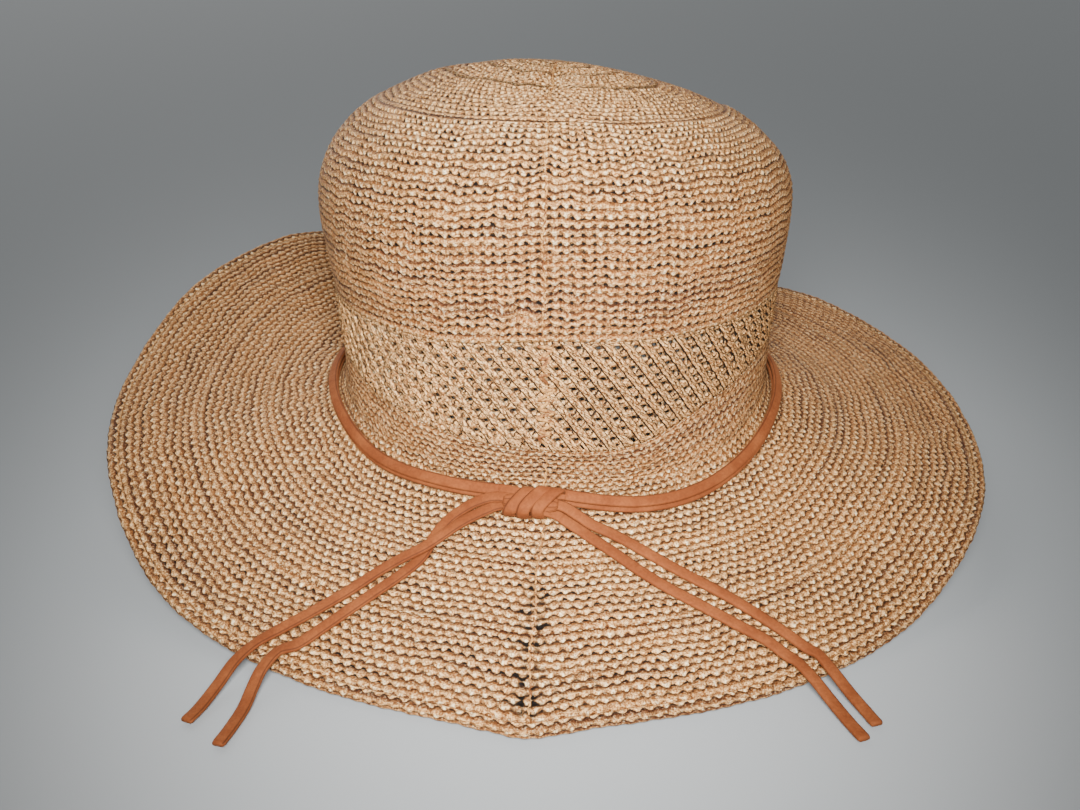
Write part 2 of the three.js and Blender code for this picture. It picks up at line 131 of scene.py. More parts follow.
hatShape = {
    # z, half width, half depth, shift, tilt
    "dome": np.array([
        (171.2, 20.0, 21.0, 1.0, 1.6), (167.4, 40.5, 42.5, 1.0, 2.8), (162.4, 56.5, 59.5, 1.0, 2.9),
        (155.0, 72.5, 75.5, 1.0, 2.6), (144.4, 84.8, 88.0, 1.0, 1.6), (131.5, 90.8, 95.0, 1.0, 0.8),
        (118.0, 91.8, 97.2, 1.2, 0.3), (104.0, 90.2, 96.3, 1.4, 0.0)]),
    "tip": {"z": 172.4, "rise": 1.2},
    # z, half width, half depth, shift
    "wall": np.array([
        (30, 88.6, 96.4, 1.2), (38, 87.8, 95.4, 1.3), (56, 86.6, 94.0, 1.5), (73, 87.0, 94.2, 1.6),
        (91, 88.3, 95.2, 1.5), (104, 90.2, 96.3, 1.4), (118, 91.8, 97.2, 1.2)]),
    # angle, top of the openwork, its foot, where the brim leaves the crown
    "heights": np.array([
        (-180, 90.0, 66.0, 38.0), (-140, 90.0, 67.0, 41.0), (-100, 90.5, 68.0, 45.0), (-68, 90.5, 66.0, 42.0),
        (-45, 90.0, 60.0, 36.0), (-25, 90.0, 55.5, 36.0), (-3, 93.0, 53.5, 36.5), (18, 92.0, 53.5, 35.0),
        (40, 92.0, 64.0, 35.0), (62, 92.5, 71.0, 40.0), (95, 92.0, 71.0, 45.0), (140, 91.0, 68.0, 41.0)]),
    # angle, radius, height
    "rim": np.array([
        (-180, 173.2, 0.0), (-163, 173.8, 26.0), (-140, 175.5, 73.0), (-115, 176.5, 70.0), (-92, 177.8, 49.0),
        (-70, 178.9, 31.0), (-52, 176.5, 9.0), (-28, 172.0, 0.5), (-3, 172.3, 0.0), (28, 171.5, 0.3),
        (46, 172.2, 3.0), (62, 175.5, 17.0), (85, 176.1, 26.0), (110, 176.8, 37.5), (138, 176.0, 45.0),
        (160, 174.5, 26.0)]),
    "seamPoint": 6.0, "seamSpread": 6.0, "edgeLift": 2.2, "gap": 0.3,
    # the flare's first three control points: share of the way out from the crown's foot, mm up
    "flare": [(0.0, 7.0), (0.03, -4.0), (0.45, 3.0)],
    "crownWall": 2.0, "brimWall": 2.0, "hemWidth": 4.8, "hemLap": 0.2,
    # a soft dent in the crown's shoulder: angle, row, depth, spread round and down, and which way is out
    "dent": {"angle": -31, "row": 2.6, "depth": 3.2, "around": 15, "down": 0.8,
             "out": np.array([-0.25, -0.45, 0.85])},
}
domeRows = len(hatShape["dome"]) - 1


def column(table, k, angle):
    # column k of a table whose first column is the angle, smooth all the way round
    return curveThrough(angle, table[:, 0], table[:, k], 360)


def ellipse(angle, z, halfWidth, halfDepth, shift):
    # x = shift + half width times sin, y = -half depth times cos, at height z
    a = np.radians(angle)
    return np.stack(np.broadcast_arrays(shift + halfWidth * np.sin(a), -halfDepth * np.cos(a), z), -1)


def onWall(angle, z):
    # oval plan whose half width and half depth go straight from one table row to the next
    w = hatShape["wall"]
    return ellipse(angle, z, *(np.interp(z, w[:, 0], w[:, k]) for k in (1, 2, 3)))


def onDome(angle, row):
    # rows 0 to 7 run through the table; -1 to 0 is the cap over the tip, a shallow paraboloid. The
    # dent is a bell about its own angle and row, taken off along its own direction
    d, tip, dent = hatShape["dome"], hatShape["tip"], hatShape["dent"]
    z, halfWidth, halfDepth, shift, tilt = (curveThrough(np.maximum(row, 0), np.arange(len(d)), d[:, k])
                                            for k in range(5))
    cap, share = row < 0, np.clip(row + 1, 0, 1)
    z = np.where(cap, tip["z"] - tip["rise"] * share**2, z)
    halfWidth, halfDepth, tilt = (np.where(cap, v * share, v) for v in (halfWidth, halfDepth, tilt))
    off = ((angle - dent["angle"]) / dent["around"]) ** 2 + ((row - dent["row"]) / dent["down"]) ** 2
    push = dent["depth"] * np.exp(-off)
    point = ellipse(angle, z - tilt * np.sin(np.radians(angle)), halfWidth, halfDepth, shift)
    return point - push[..., None] * dent["out"]


def onCrown(angle, row):
    # the dome down to row 7, then the wall straight down to the openwork's top at row 8
    foot = column(hatShape["heights"], 1, angle) + hatShape["gap"] / 2
    start = hatShape["dome"][domeRows, 0]
    z = start + (foot - start) * np.clip(row - domeRows, 0, 1)
    return np.where((row < domeRows)[..., None], onDome(angle, np.minimum(row, domeRows)), onWall(angle, z))


def flarePoints(angle):
    # control points of the flare: up the wall, under the fillet, half way out, and the edge, which
    # runs out to a blunt point at the seam
    rim = hatShape["rim"]
    foot = onWall(angle, column(hatShape["heights"], 3, angle))
    radius = column(rim, 1, angle) + hatShape["seamPoint"] * np.exp(
        -np.abs(fromSeam(angle) / hatShape["seamSpread"]) ** 1.5)
    edge = ellipse(angle, column(rim, 2, angle) + hatShape["edgeLift"], radius, radius, 0)
    return (*(foot + share * (edge - foot) + [0, 0, up] for share, up in hatShape["flare"]), edge)


def onBrim(angle, place):
    # place 0 to 1 is a cubic Bezier from crown to edge; -1 to 0 comes down the wall from the openwork
    p0, p1, p2, p3 = flarePoints(angle)
    t = np.maximum(place, 0)[..., None]
    flare = (1 - t) ** 3 * p0 + 3 * (1 - t) ** 2 * t * p1 + 3 * (1 - t) * t**2 * p2 + t**3 * p3
    top = column(hatShape["heights"], 2, angle) - hatShape["gap"] / 2
    z = p0[..., 2] + (top - p0[..., 2]) * np.maximum(-place, 0)
    return np.where((place < 0)[..., None], onWall(angle, z), flare)


def hemStart(angle):
    # how far along the flare the knit goes: it just laps over the hem's roll. The flare's end is
    # three times the last two points' distance long per unit of place
    p2, p3 = flarePoints(angle)[2:]
    return 1 - (hatShape["hemWidth"] - hatShape["hemLap"]) / (3 * np.linalg.norm(p3 - p2, axis=-1))


def outOf(surface, angle, row, turn=0.5, step=0.02):
    # square out of the surface: the step down it crossed with the step round it; then those two
    around = surface(angle + turn, row) - surface(angle - turn, row)
    down = surface(angle, row + step) - surface(angle, row - step)
    return unit(np.cross(down, around)), unit(down), unit(around)


def evenRows(surface, angle, low, high, shares, steps=160):
    # the row value at each share of every meridian's length between low and high: straight between
    # the two steps whose lengths lie either side of that share
    rows = low + (high - low) * np.linspace(0, 1, steps)[:, None] + 0 * angle[None]
    length = lengthAlong(surface(angle[None], rows))
    length /= length[-1]
    want = np.clip(shares, 0, 1)
    i = np.clip((length[None] <= want[:, None]).sum(1) - 1, 0, steps - 2)
    across = np.arange(len(angle))[None]
    l0, l1 = length[i, across], length[i + 1, across]
    part = (want - l0) / np.maximum(l1 - l0, 1e-9)
    return rows[i, across] + (rows[i + 1, across] - rows[i, across]) * part


def addMesh(name, points, faces, uv, material, slot, marks=None):
    # a piece from points in mm about the crown, moved and scaled to the hat's frame; uv is given
    # corner by corner, and marks are numbers kept at the points
    mesh = bpy.data.meshes.new(name)
    mesh.from_pydata(((points - hatCentre) / 1000).astype(np.float32), [], faces)
    layer = mesh.uv_layers.new(name="stitches")
    layer.data.foreach_set("uv", np.asarray(uv, np.float32).ravel())
    for key, values in (marks or {}).items():
        mark = mesh.attributes.new(key, "FLOAT", "POINT")
        mark.data.foreach_set("value", np.asarray(values, np.float32).ravel())
    mesh.polygons.foreach_set("use_smooth", np.ones(len(mesh.polygons), bool))
    mesh.update()
    mesh.materials.append(material)
    piece = bpy.data.objects.new(name, mesh)
    bpy.context.scene.collection.objects.link(piece)
    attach(piece, "root")
    print("made", name, sum(len(p.vertices) - 2 for p in mesh.polygons), "triangles")
    return piece


def ringFaces(points, u, v, joined):
    # quads between ring r and the next, s, and between point k and the next, m, of a ring closed on
    # itself; joined also ties the last ring to the first. Returns faces and their corners' (u, v),
    # turned outward by the sign of the volume that they enclose
    rings, n = points.shape[:2]
    r = np.arange(rings if joined else rings - 1)[:, None]
    s = (r + 1) % rings
    k = np.arange(n)[None]
    m = (k + 1) % n
    faces = np.stack(np.broadcast_arrays(r * n + k, s * n + k, s * n + m, r * n + m), -1).reshape(-1, 4)
    # u and v go on past the last point and ring instead of running back to the first
    uNext = np.where(k + 1 < n, np.roll(u, -1, axis=1), u[:, :1] + (u[:, -1:] - u[:, :1]) * n / (n - 1))
    vNext = np.roll(v, -1, axis=1)
    vAfter = np.concatenate([v[1:], 2 * v[-1:] - v[-2:-1]])
    corner = [(u[r, k], v[r, k]), (u[s, k], vAfter[r, k]), (uNext[s, k], np.roll(vAfter, -1, axis=1)[r, k]),
              (uNext[r, k], vNext[r, k])]
    uv = np.stack([np.stack(np.broadcast_arrays(*c), -1) for c in corner], 2).reshape(-1, 4, 2)
    flat = points.reshape(-1, 3)
    a, b, c, d = (flat[faces[:, i]] for i in range(4))
    if np.einsum("ij,ij->i", a, np.cross(b, c)).sum() + np.einsum("ij,ij->i", a, np.cross(c, d)).sum() < 0:
        faces, uv = faces[:, ::-1], uv[:, ::-1]
    return faces, uv


def closedTube(name, rings, u, v, capped=False, marks=None, **more):
    # a tube through rings of points, tied last to first, or capped by a fan about each end's middle
    faces, uv = ringFaces(rings, u, v, not capped)
    points = rings.reshape(-1, 3)
    faces, uv = faces.tolist(), uv.reshape(-1, 2)
    if capped:
        n, count = rings.shape[1], len(points)
        points = np.concatenate([points, rings[:1].mean(1), rings[-1:].mean(1)])
        k = np.arange(n)
        m, last = (k + 1) % n, count - n
        caps = [np.stack([0 * k + count, k, m], -1), np.stack([0 * k + count + 1, last + m, last + k], -1)]
        forward = faces[0][1] == n
        for cap in caps:
            faces += (cap if forward else cap[:, ::-1]).tolist()
        uv = np.concatenate([uv] + [np.full((3 * n, 2), (u[i].mean(), v[i].mean())) for i in (0, -1)])
        marks = {key: np.concatenate([mark.ravel(), mark[:1].mean(1), mark[-1:].mean(1)])
                 for key, mark in (marks or {}).items()}
    return addMesh(name, points, faces, uv, marks=marks, **more)


# Materials. Nodes are added by small functions, and each value is a number, a colour or a socket

def newMaterial(name):
    # an empty material and its node tree
    material = bpy.data.materials.new(name)
    material.use_nodes = True
    material.node_tree.nodes.clear()
    return material, material.node_tree


def put(socket, value):
    # a link where the value is a socket, and otherwise the socket's own number or colour
    if isinstance(value, bpy.types.NodeSocket):
        socket.id_data.links.new(value, socket)
    else:
        socket.default_value = value


def add(tree, kind, fields=None, **sockets):
    # a node with its fields, and its sockets by name, with _ for each space
    node = tree.nodes.new("ShaderNode" + kind)
    for key, value in (fields or {}).items():
        setattr(node, key, value)
    for key, value in sockets.items():
        put(node.inputs[key.replace("_", " ")], value)
    return node


def calc(operation, *values):
    # a Math node, in the tree of its first value that is a socket
    tree = next(v for v in values if isinstance(v, bpy.types.NodeSocket)).id_data
    node = add(tree, "Math", {"operation": operation})
    for socket, value in zip(node.inputs, values):
        put(socket, value)
    return node.outputs[0]


def plus(a, b):
    # a + b
    return calc("ADD", a, b)


def minus(a, b):
    # a - b
    return calc("SUBTRACT", a, b)


def times(a, b):
    # a times b
    return calc("MULTIPLY", a, b)


def squared(value):
    # |value|^2
    return calc("POWER", calc("ABSOLUTE", value), 2.0)


def ramp(value, low, high, toLow=0.0, toHigh=1.0):
    # toLow up to low, toHigh from high on, and a smooth step between them
    return add(value.id_data, "MapRange", {"interpolation_type": "SMOOTHSTEP"}, Value=value, From_Min=low,
               From_Max=high, To_Min=toLow, To_Max=toHigh).outputs["Result"]


def blend(mode, share, first, second):
    # first where share is 0, and where it is 1 the second laid over it in this mode
    node = add(share.id_data, "Mix", {"data_type": "RGBA", "blend_type": mode}, Factor=share)
    put(node.inputs[6], first)
    put(node.inputs[7], second)
    return node.outputs[2]


def noise(where, scale, detail, roughness, dimensions="3D"):
    # smooth random patches, 0 to 1 and about 1 / scale wide, with finer ones added
    return add(where.id_data, "TexNoise", {"noise_dimensions": dimensions}, Vector=where, Scale=scale,
               Detail=detail, Roughness=roughness).outputs[0]


def stretched(where, across, down, turn=0.0):
    # the place scaled along u and v and turned, so that noise on it is longer one way
    return add(where.id_data, "Mapping", None, Vector=where, Scale=(across, down, 1),
               Rotation=(0, 0, turn)).outputs[0]


def places(tree):
    # the stitches' own u and v, and the place in the hat
    uv = add(tree, "UVMap", {"uv_map": "stitches"}).outputs[0]
    split = add(tree, "SeparateXYZ", None, Vector=uv)
    return uv, split.outputs[0], split.outputs[1], add(tree, "TexCoord").outputs["Object"]


def markOf(tree, name):
    # the number that the mesh keeps at each point under this name
    return add(tree, "Attribute", {"attribute_name": name}).outputs["Fac"]


def finished(tree, colour, height, bumpMm, strength, finish):
    # a Principled shader with this roughness and gloss, bumped by the height
    bump = add(tree, "Bump", None, Height=height, Strength=strength, Distance=bumpMm / 1000)
    shader = add(tree, "BsdfPrincipled", None, Base_Color=colour, Normal=bump.outputs[0],
                 Roughness=finish["roughness"], Specular_IOR_Level=finish["specular"])
    add(tree, "OutputMaterial", None, Surface=shader.outputs[0])
    return shader


def tone(r, g, b):
    # colour as seen on screen, 0..255, turned to the shader's own scale
    return (*(((v / 255 + 0.055) / 1.055) ** 2.4 if v > 10 else v / 3300 for v in (r, g, b)), 1.0)


# the yarn's own tones are the tan, its dark tone, the thread and the fleck. The pale tone is pale fibre and
# also the painted highlight on each row's lower lip; the palest is the painted glint on the stitches and the
# pale of the flecks; the near black is painted shade in the lines, pits, creases and hollows; the dark brown
# is painted shade at each row's top and dark fibre elsewhere
knitColours = {
    "yarn": tone(166, 111, 60), "yarnDark": tone(104, 62, 33), "yarnPaleAndHighlight": tone(240, 188, 123),
    "glint": tone(255, 237, 192), "thread": tone(188, 138, 78), "fleck": tone(142, 112, 84),
    "gap": tone(14, 7, 4), "shade": tone(70, 37, 18),
    "roughness": 0.65, "specular": 0.15,
}


def flecked(place, yarn):
    # the yarn's own fine flecks: browner where a fine noise is low, and pale in the glints' colour where it
    # is high
    grain = noise(place, 1250.0, 3.0, 0.75)
    yarn = blend("MULTIPLY", ramp(grain, 0.58, 0.38, 0.0, 0.95), yarn, knitColours["fleck"])
    return grain, blend("MIX", ramp(grain, 0.54, 0.72, 0.0, 0.45), yarn, knitColours["glint"])


def knitMaterial(name, wave, stagger, gapWidth, pitShare, glintShare, lineFade, shade=0.5, bumpMm=0.45):
    # Rows meet on wavy lines at row = n + wave*cos(2 pi (stitch + stagger*n)). Painted shade darkens a
    # thin line under each of them, most where the line rises, and a pit there; each row has painted shade
    # at its top, a painted highlight at its lower lip and painted glints. Near the seam the lines open
    # into wider painted dark gaps. Noise in slow patches, long streaks and fine fibres varies the tan.
    c = knitColours
    material, tree = newMaterial(name)
    uv, u, v, place = places(tree)
    near, gapShade = markOf(tree, "seamNear"), markOf(tree, "gapShade")
    wobble = noise(uv, 0.9, 1.0, 0.5, "2D")
    ragged = noise(uv, 3.6, 2.0, 0.6, "2D")
    shift = times(minus(wobble, 0.5), 0.34)
    stitch = plus(u, shift)
    row = plus(plus(v, times(shift, 0.5)), times(minus(ragged, 0.5), 0.16))

    def archOf(n):
        # the wave of row n's line, cos(2 pi (stitch + stagger*n))
        return calc("COSINE", times(plus(stitch, times(n, stagger)), 2 * math.pi))

    nearest = calc("ROUND", row)
    arch = archOf(nearest)
    cell = calc("FLOOR", minus(row, times(arch, wave)))
    below = minus(minus(row, cell), times(archOf(cell), wave))
    lower = archOf(plus(cell, 1.0))
    above = minus(plus(1.0, times(lower, wave)), minus(row, cell))
    own = add(tree, "CombineXYZ", None, X=calc("ROUND", plus(stitch, times(cell, stagger))), Y=cell)
    each = add(tree, "TexWhiteNoise", {"noise_dimensions": "2D"}, Vector=own.outputs[0]).outputs[0]

    # painted shade: dark lines under and over the rows' edges, and a round dark pit where a line rises
    spread = times(plus(0.55, times(ragged, 0.9)), gapWidth)
    spread = times(spread, plus(1.0, times(near, 2.2)))
    under = minus(1.0, ramp(calc("DIVIDE", below, spread), 0.4, 1.25))
    over = minus(1.0, ramp(calc("DIVIDE", above, spread), 0.1, 0.6))
    fade = minus(1 - lineFade, times(arch, lineFade))
    fade = calc("MAXIMUM", fade, times(near, ramp(each, 0.1, 0.45, 0.65, 1.3)))
    line = times(times(calc("MAXIMUM", under, over), fade), gapShade)
    side = minus(calc("FRACT", plus(stitch, times(nearest, stagger))), 0.5)
    fall = plus(minus(row, nearest), wave * 0.7)
    pit = plus(squared(times(side, 1 / 0.2)), squared(times(fall, 1 / 0.25)))
    hole = times(minus(1.0, ramp(pit, 0.4, 1.2)), pitShare)
    hole = times(times(hole, ramp(ragged, 0.3, 0.5, 0.35, 1.0)), ramp(gapShade, 0.2, 0.9))
    dark = calc("MINIMUM", 1.0, calc("MAXIMUM", line, hole))

    # the yarn's tan, from patches, streaks along the rows and slanting fibres, and painted light and shade
    streaks = noise(stretched(uv, 0.035, 0.9), 1.0, 3.0, 0.7, "2D")
    fibres = noise(stretched(uv, 2.6, 7.0, 0.35), 1.0, 3.0, 0.75, "2D")
    mixed = plus(times(noise(place, 16.0, 3.0, 0.6), 0.7), times(streaks, 2.0))
    yarn = blend("MIX", ramp(mixed, 1.05, 1.55), c["yarnDark"], c["yarn"])
    # painted highlight: each row's lower lip is paler, most where it hangs lowest, broken by the fibres
    lip = times(ramp(minus(below, above), -0.6, 0.5), ramp(lower, -1.0, 0.6, 0.55, 1.0))
    yarn = blend("MIX", times(lip, ramp(fibres, 0.3, 0.6, 0.25, 1.0)), yarn, c["yarnPaleAndHighlight"])
    # painted shade at each row's top, weaker where the gaps have less painted shade
    inShade = times(minus(1.0, ramp(below, 0.05, 0.45)), ramp(gapShade, 0.1, 0.5, 0.25 * shade, shade))
    yarn = blend("MIX", inShade, yarn, c["shade"])
    yarn = blend("MIX", ramp(fibres, 0.3, 0.5, 0.5, 0.0), yarn, c["yarnDark"])
    # painted glints: pale spots on each row's lower lip where it hangs lowest, random from stitch to stitch
    glint = times(ramp(above, 0.5, 0.25), ramp(lower, 0.35, 0.95))
    glint = times(glint, times(glintShare, ramp(each, 0.2, 0.9)))
    grain, yarn = flecked(place, blend("MIX", glint, yarn, c["glint"]))

    height = plus(ramp(calc("MINIMUM", below, above), 0.0, 0.4), times(hole, -0.9))
    for part, share in ((lip, 0.5), (fibres, 1.1), (grain, 0.8)):
        height = plus(height, times(part, share))
    # the painted shade of the lines and pits laid over the yarn in near black
    finished(tree, blend("MIX", dark, yarn, c["gap"]), height, bumpMm, 1.0, c)
    return material


def strandMaterial(name, bumpMm=0.4):
    # openwork yarn: u counts ribs and v counts rungs. Thin lines of painted shade run down beside each rib
    # and where its two strands cross, short ones slant over each rung, and fine fibres run along the yarn;
    # the piece's own attribute of groove shade paints shade into the hollows
    c = knitColours
    material, tree = newMaterial(name)
    uv, u, v, place = places(tree)
    ragged = noise(uv, 2.2, 3.0, 0.65, "2D")
    u = plus(u, times(minus(ragged, 0.5), 0.16))
    v = plus(v, times(minus(ragged, 0.5), 0.5))
    across, down = calc("FRACT", u), calc("FRACT", v)
    turn = calc("SINE", times(v, 2 * math.pi))

    def thin(value, width):
        # 1 on the line where value is 0, fading out at width
        return minus(1.0, ramp(calc("DIVIDE", calc("ABSOLUTE", value), width), 0.3, 1.0))

    # lines of painted shade in the creases beside each rib, where its strands cross and over the rungs
    beside = thin(minus(calc("FRACT", plus(u, 0.5)), 0.5), 0.055)
    crossing = thin(minus(across, plus(0.27, times(turn, 0.06))), 0.045)
    crossing = times(crossing, ramp(ragged, 0.38, 0.55, 0.3, 1.0))
    inLadder = ramp(across, 0.46, 0.54)
    slant = thin(minus(down, plus(0.5, times(minus(across, 0.75), -1.1))), 0.1)
    slant = times(slant, times(inLadder, ramp(ragged, 0.36, 0.52, 0.2, 1.0)))
    wrapLine = thin(minus(down, plus(0.2, times(across, 1.4))), 0.09)
    wrapLine = times(wrapLine, times(minus(1.0, inLadder), 0.75))
    lines = calc("MAXIMUM", calc("MAXIMUM", beside, times(crossing, 0.95)), calc("MAXIMUM", slant, wrapLine))

    fibres = noise(stretched(uv, 17.0, 2.2), 1.0, 3.0, 0.7, "2D")
    yarn = blend("MIX", ramp(noise(place, 60.0, 4.0, 0.65), 0.35, 0.65), c["yarnDark"], c["yarn"])
    # the yarn's own pale and dark fibres, in the pale tone and the shade tone
    yarn = blend("MIX", ramp(fibres, 0.37, 0.63, 0.12, 0.95), yarn, c["yarnPaleAndHighlight"])
    yarn = blend("MIX", ramp(fibres, 0.2, 0.4, 0.45, 0.0), yarn, c["shade"])
    # painted shade in the hollows, as strong as the piece's groove shade attribute says
    yarn = blend("MIX", ramp(markOf(tree, "grooveShade"), 0.05, 0.75, 0.0, 0.95), yarn, c["gap"])
    grain, yarn = flecked(place, yarn)
    height = minus(plus(times(fibres, 0.9), times(grain, 0.7)), times(lines, 0.9))
    # the creases' painted shade laid over the yarn in near black
    finished(tree, blend("MIX", lines, yarn, c["gap"]), height, bumpMm, 1.0, c)
    return material


def threadMaterial(name, bumpMm=0.2):
    # fine pale thread: fine fibres and soft dark blotches
    c = knitColours
    material, tree = newMaterial(name)
    place = add(tree, "TexCoord").outputs["Object"]
    fine = noise(place, 2200.0, 2.0, 0.7)
    colour = blend("MIX", ramp(noise(place, 420.0, 3.0, 0.7), 0.38, 0.62), c["yarnDark"], c["thread"])
    colour = blend("MIX", ramp(fine, 0.35, 0.55, 0.6, 0.0), colour, c["shade"])
    finished(tree, colour, fine, bumpMm, 0.8, c)
    return material


suede = {
    "face": tone(106, 53, 23), "worn": tone(134, 75, 38), "edge": tone(46, 21, 9),
    "roughness": 0.85, "specular": 0.15,
    "sheen": {"Sheen Weight": 0.08, "Sheen Roughness": 0.4, "Sheen Tint": tone(240, 160, 100)},
}


def suedeMaterial(name, bumpMm=0.3):
    # short nap: soft blotches and fine noise; the cut edges, at whole and half turns of u round the
    # strap, are darker
    material, tree = newMaterial(name)
    _, u, _, place = places(tree)
    edge = calc("ABSOLUTE", minus(calc("FRACT", times(u, 2.0)), 0.5))
    nap = noise(place, 1100.0, 3.0, 0.7)
    blotch = ramp(noise(place, 90.0, 4.0, 0.7), 0.35, 0.7, 0.0, 0.65)
    colour = blend("MIX", blotch, suede["face"], suede["worn"])
    colour = blend("MIX", ramp(nap, 0.35, 0.75, 0.28, 0.0), colour, suede["edge"])
    colour = blend("MIX", ramp(edge, 0.36, 0.5, 0.0, 0.7), colour, suede["edge"])
    shader = finished(tree, colour, nap, bumpMm, 0.55, suede)
    for key, value in suede["sheen"].items():
        shader.inputs[key].default_value = value
    return material


knitLooks = {
    # how the rows' lines wave, how wide and dark their painted shade is, how strong the painted pits and
    # glints are
    "crownKnit": {"wave": 0.08, "stagger": 0.0, "gapWidth": 0.18, "pitShare": 1.0, "glintShare": 0.9,
                  "lineFade": 0.32},
    "tipKnit": {"wave": 0.13, "stagger": 0.5, "gapWidth": 0.2, "pitShare": 0.3, "glintShare": 0.35,
                "lineFade": 0.3},
    "collarKnit": {"wave": 0.14, "stagger": 0.5, "gapWidth": 0.2, "pitShare": 0.3, "glintShare": 1.0,
                   "lineFade": 0.3, "shade": 0.25},
    "brimKnit": {"wave": 0.14, "stagger": 0.5, "gapWidth": 0.21, "pitShare": 0.25, "glintShare": 0.8,
                 "lineFade": 0.36},
}
crownKnit, tipKnit, collarKnit, brimKnit = (knitMaterial(name, **look) for name, look in knitLooks.items())
strandYarn = strandMaterial("openworkYarn")
seamYarn = threadMaterial("seamYarn")
laceSuede = suedeMaterial("laceSuede")
print("materials made")


# Cords: the lace's four free ends, flat suede straps that lie on the brim and reach the floor

tieSetup = {
    "width": 4.0, "thickness": 1.6, "points": 30, "stations": 150, "cutSize": 0.9,
    # centre of the lace in the hat's own frame (mm), then which way its flat side faces
    "tie_left_outer": [
        (-20.29, -101.18, 36.38, -0.081, -0.481, 0.873), (-24.19, -102.64, 35.21, -0.088, -0.437, 0.895),
        (-28.49, -104.71, 33.86, -0.106, -0.401, 0.91), (-32.5, -106.99, 32.33, -0.14, -0.39, 0.91),
        (-36.72, -109.74, 30.43, -0.154, -0.38, 0.912), (-42.13, -113.09, 28.17, -0.184, -0.381, 0.906),
        (-49.19, -115.56, 25.4, -0.259, -0.394, 0.882), (-56.41, -117.66, 21.92, -0.229, -0.389, 0.892),
        (-65.97, -123.59, 17.92, -0.155, -0.36, 0.92), (-76.28, -129.22, 14.05, -0.143, -0.358, 0.923),
        (-86.57, -134.46, 10.52, -0.106, -0.346, 0.932), (-93.93, -139.26, 8.2, -0.174, -0.165, 0.971),
        (-98.73, -145.76, 6.4, -0.155, -0.252, 0.955), (-102.53, -153.36, 3, -0.106, -0.251, 0.962),
        (-105.63, -162.16, 1.4, -0.035, -0.094, 0.995), (-107.93, -167.96, 1.2, -0.012, -0.03, 0.999)],
    "tie_left_inner": [
        (-23.01, -98.86, 38.39, -0.276, -0.56, 0.781), (-26.51, -99.07, 37, -0.341, -0.527, 0.778),
        (-30.16, -99.43, 34.84, -0.361, -0.509, 0.781), (-33.66, -100.49, 32.76, -0.257, -0.473, 0.843),
        (-36.17, -102.61, 31.17, -0.182, -0.412, 0.893), (-38.45, -105.41, 29.53, -0.164, -0.384, 0.909),
        (-40.74, -109.96, 27.25, -0.155, -0.37, 0.916), (-44.02, -115.63, 24.47, -0.149, -0.361, 0.921),
        (-50.51, -121.03, 21.34, -0.145, -0.359, 0.922), (-57.76, -125.87, 18.31, -0.144, -0.363, 0.921),
        (-64.99, -130.68, 15.27, -0.144, -0.371, 0.917), (-72.55, -135.7, 12.02, -0.134, -0.375, 0.917),
        (-80.33, -140.82, 8.89, -0.051, -0.34, 0.939), (-85.73, -143.36, 8.2, -0.152, -0.133, 0.98),
        (-89.53, -149.36, 6.2, -0.154, -0.322, 0.934), (-91.33, -154.86, 3.4, -0.074, -0.329, 0.942),
        (-92.33, -162.36, 1.6, -0.022, -0.138, 0.99), (-93.93, -170.76, 1.2, -0.005, -0.023, 1),
        (-95.73, -178.26, 1.2, 0, 0, 1)],
    "tie_right_upper": [
        (5.82, -104.03, 37.13, 0.122, -0.55, 0.826), (9.56, -105.91, 35.33, 0.182, -0.527, 0.83),
        (13.41, -107.47, 33.28, 0.234, -0.497, 0.836), (18.08, -108.48, 31.42, 0.194, -0.455, 0.869),
        (24.18, -110.74, 29.25, 0.139, -0.409, 0.902), (34.09, -116.04, 25.67, 0.13, -0.37, 0.92),
        (44.17, -121.28, 22.18, 0.14, -0.355, 0.924), (55.66, -126.73, 18.28, 0.155, -0.349, 0.924),
        (65.93, -132.48, 14.3, 0.164, -0.353, 0.921), (74.16, -137.67, 10.82, 0.161, -0.352, 0.922),
        (80.25, -142.08, 8.12, 0.09, -0.302, 0.949), (82.87, -143.86, 7.6, 0.15, -0.165, 0.975),
        (86.27, -150.16, 5.6, 0.149, -0.273, 0.95), (89.87, -156.66, 2.8, 0.12, -0.242, 0.963),
        (92.87, -163.46, 1.4, 0.038, -0.102, 0.994), (94.77, -169.46, 1.2, 0.01, -0.03, 0.999)],
    "tie_right_lower": [
        (3.11, -104.83, 34.54, 0.056, -0.49, 0.87), (6.86, -107.22, 32.95, 0.079, -0.458, 0.885),
        (10.81, -109.72, 31.32, 0.091, -0.432, 0.897), (15.23, -112.6, 29.51, 0.099, -0.409, 0.907),
        (20.86, -116.25, 27.28, 0.106, -0.388, 0.915), (28.7, -121.81, 24.06, 0.114, -0.372, 0.921),
        (37.92, -127.32, 20.7, 0.123, -0.365, 0.923), (47.4, -131.92, 17.58, 0.136, -0.364, 0.922),
        (58.09, -137, 13.89, 0.148, -0.365, 0.919), (67.1, -141.24, 10.71, 0.148, -0.363, 0.92),
        (73.6, -146.01, 7.82, 0.083, -0.318, 0.944), (75.47, -147.36, 7.4, 0.164, -0.169, 0.972),
        (79.67, -153.56, 5.2, 0.162, -0.262, 0.951), (83.27, -159.96, 2.6, 0.098, -0.21, 0.973),
        (86.67, -168.76, 1.4, 0.027, -0.071, 0.997), (89.27, -175.96, 1.2, 0.009, -0.024, 1)],
}


strapRoutes = {}  # each strap's middle line and which way its flat side faces, for the knot


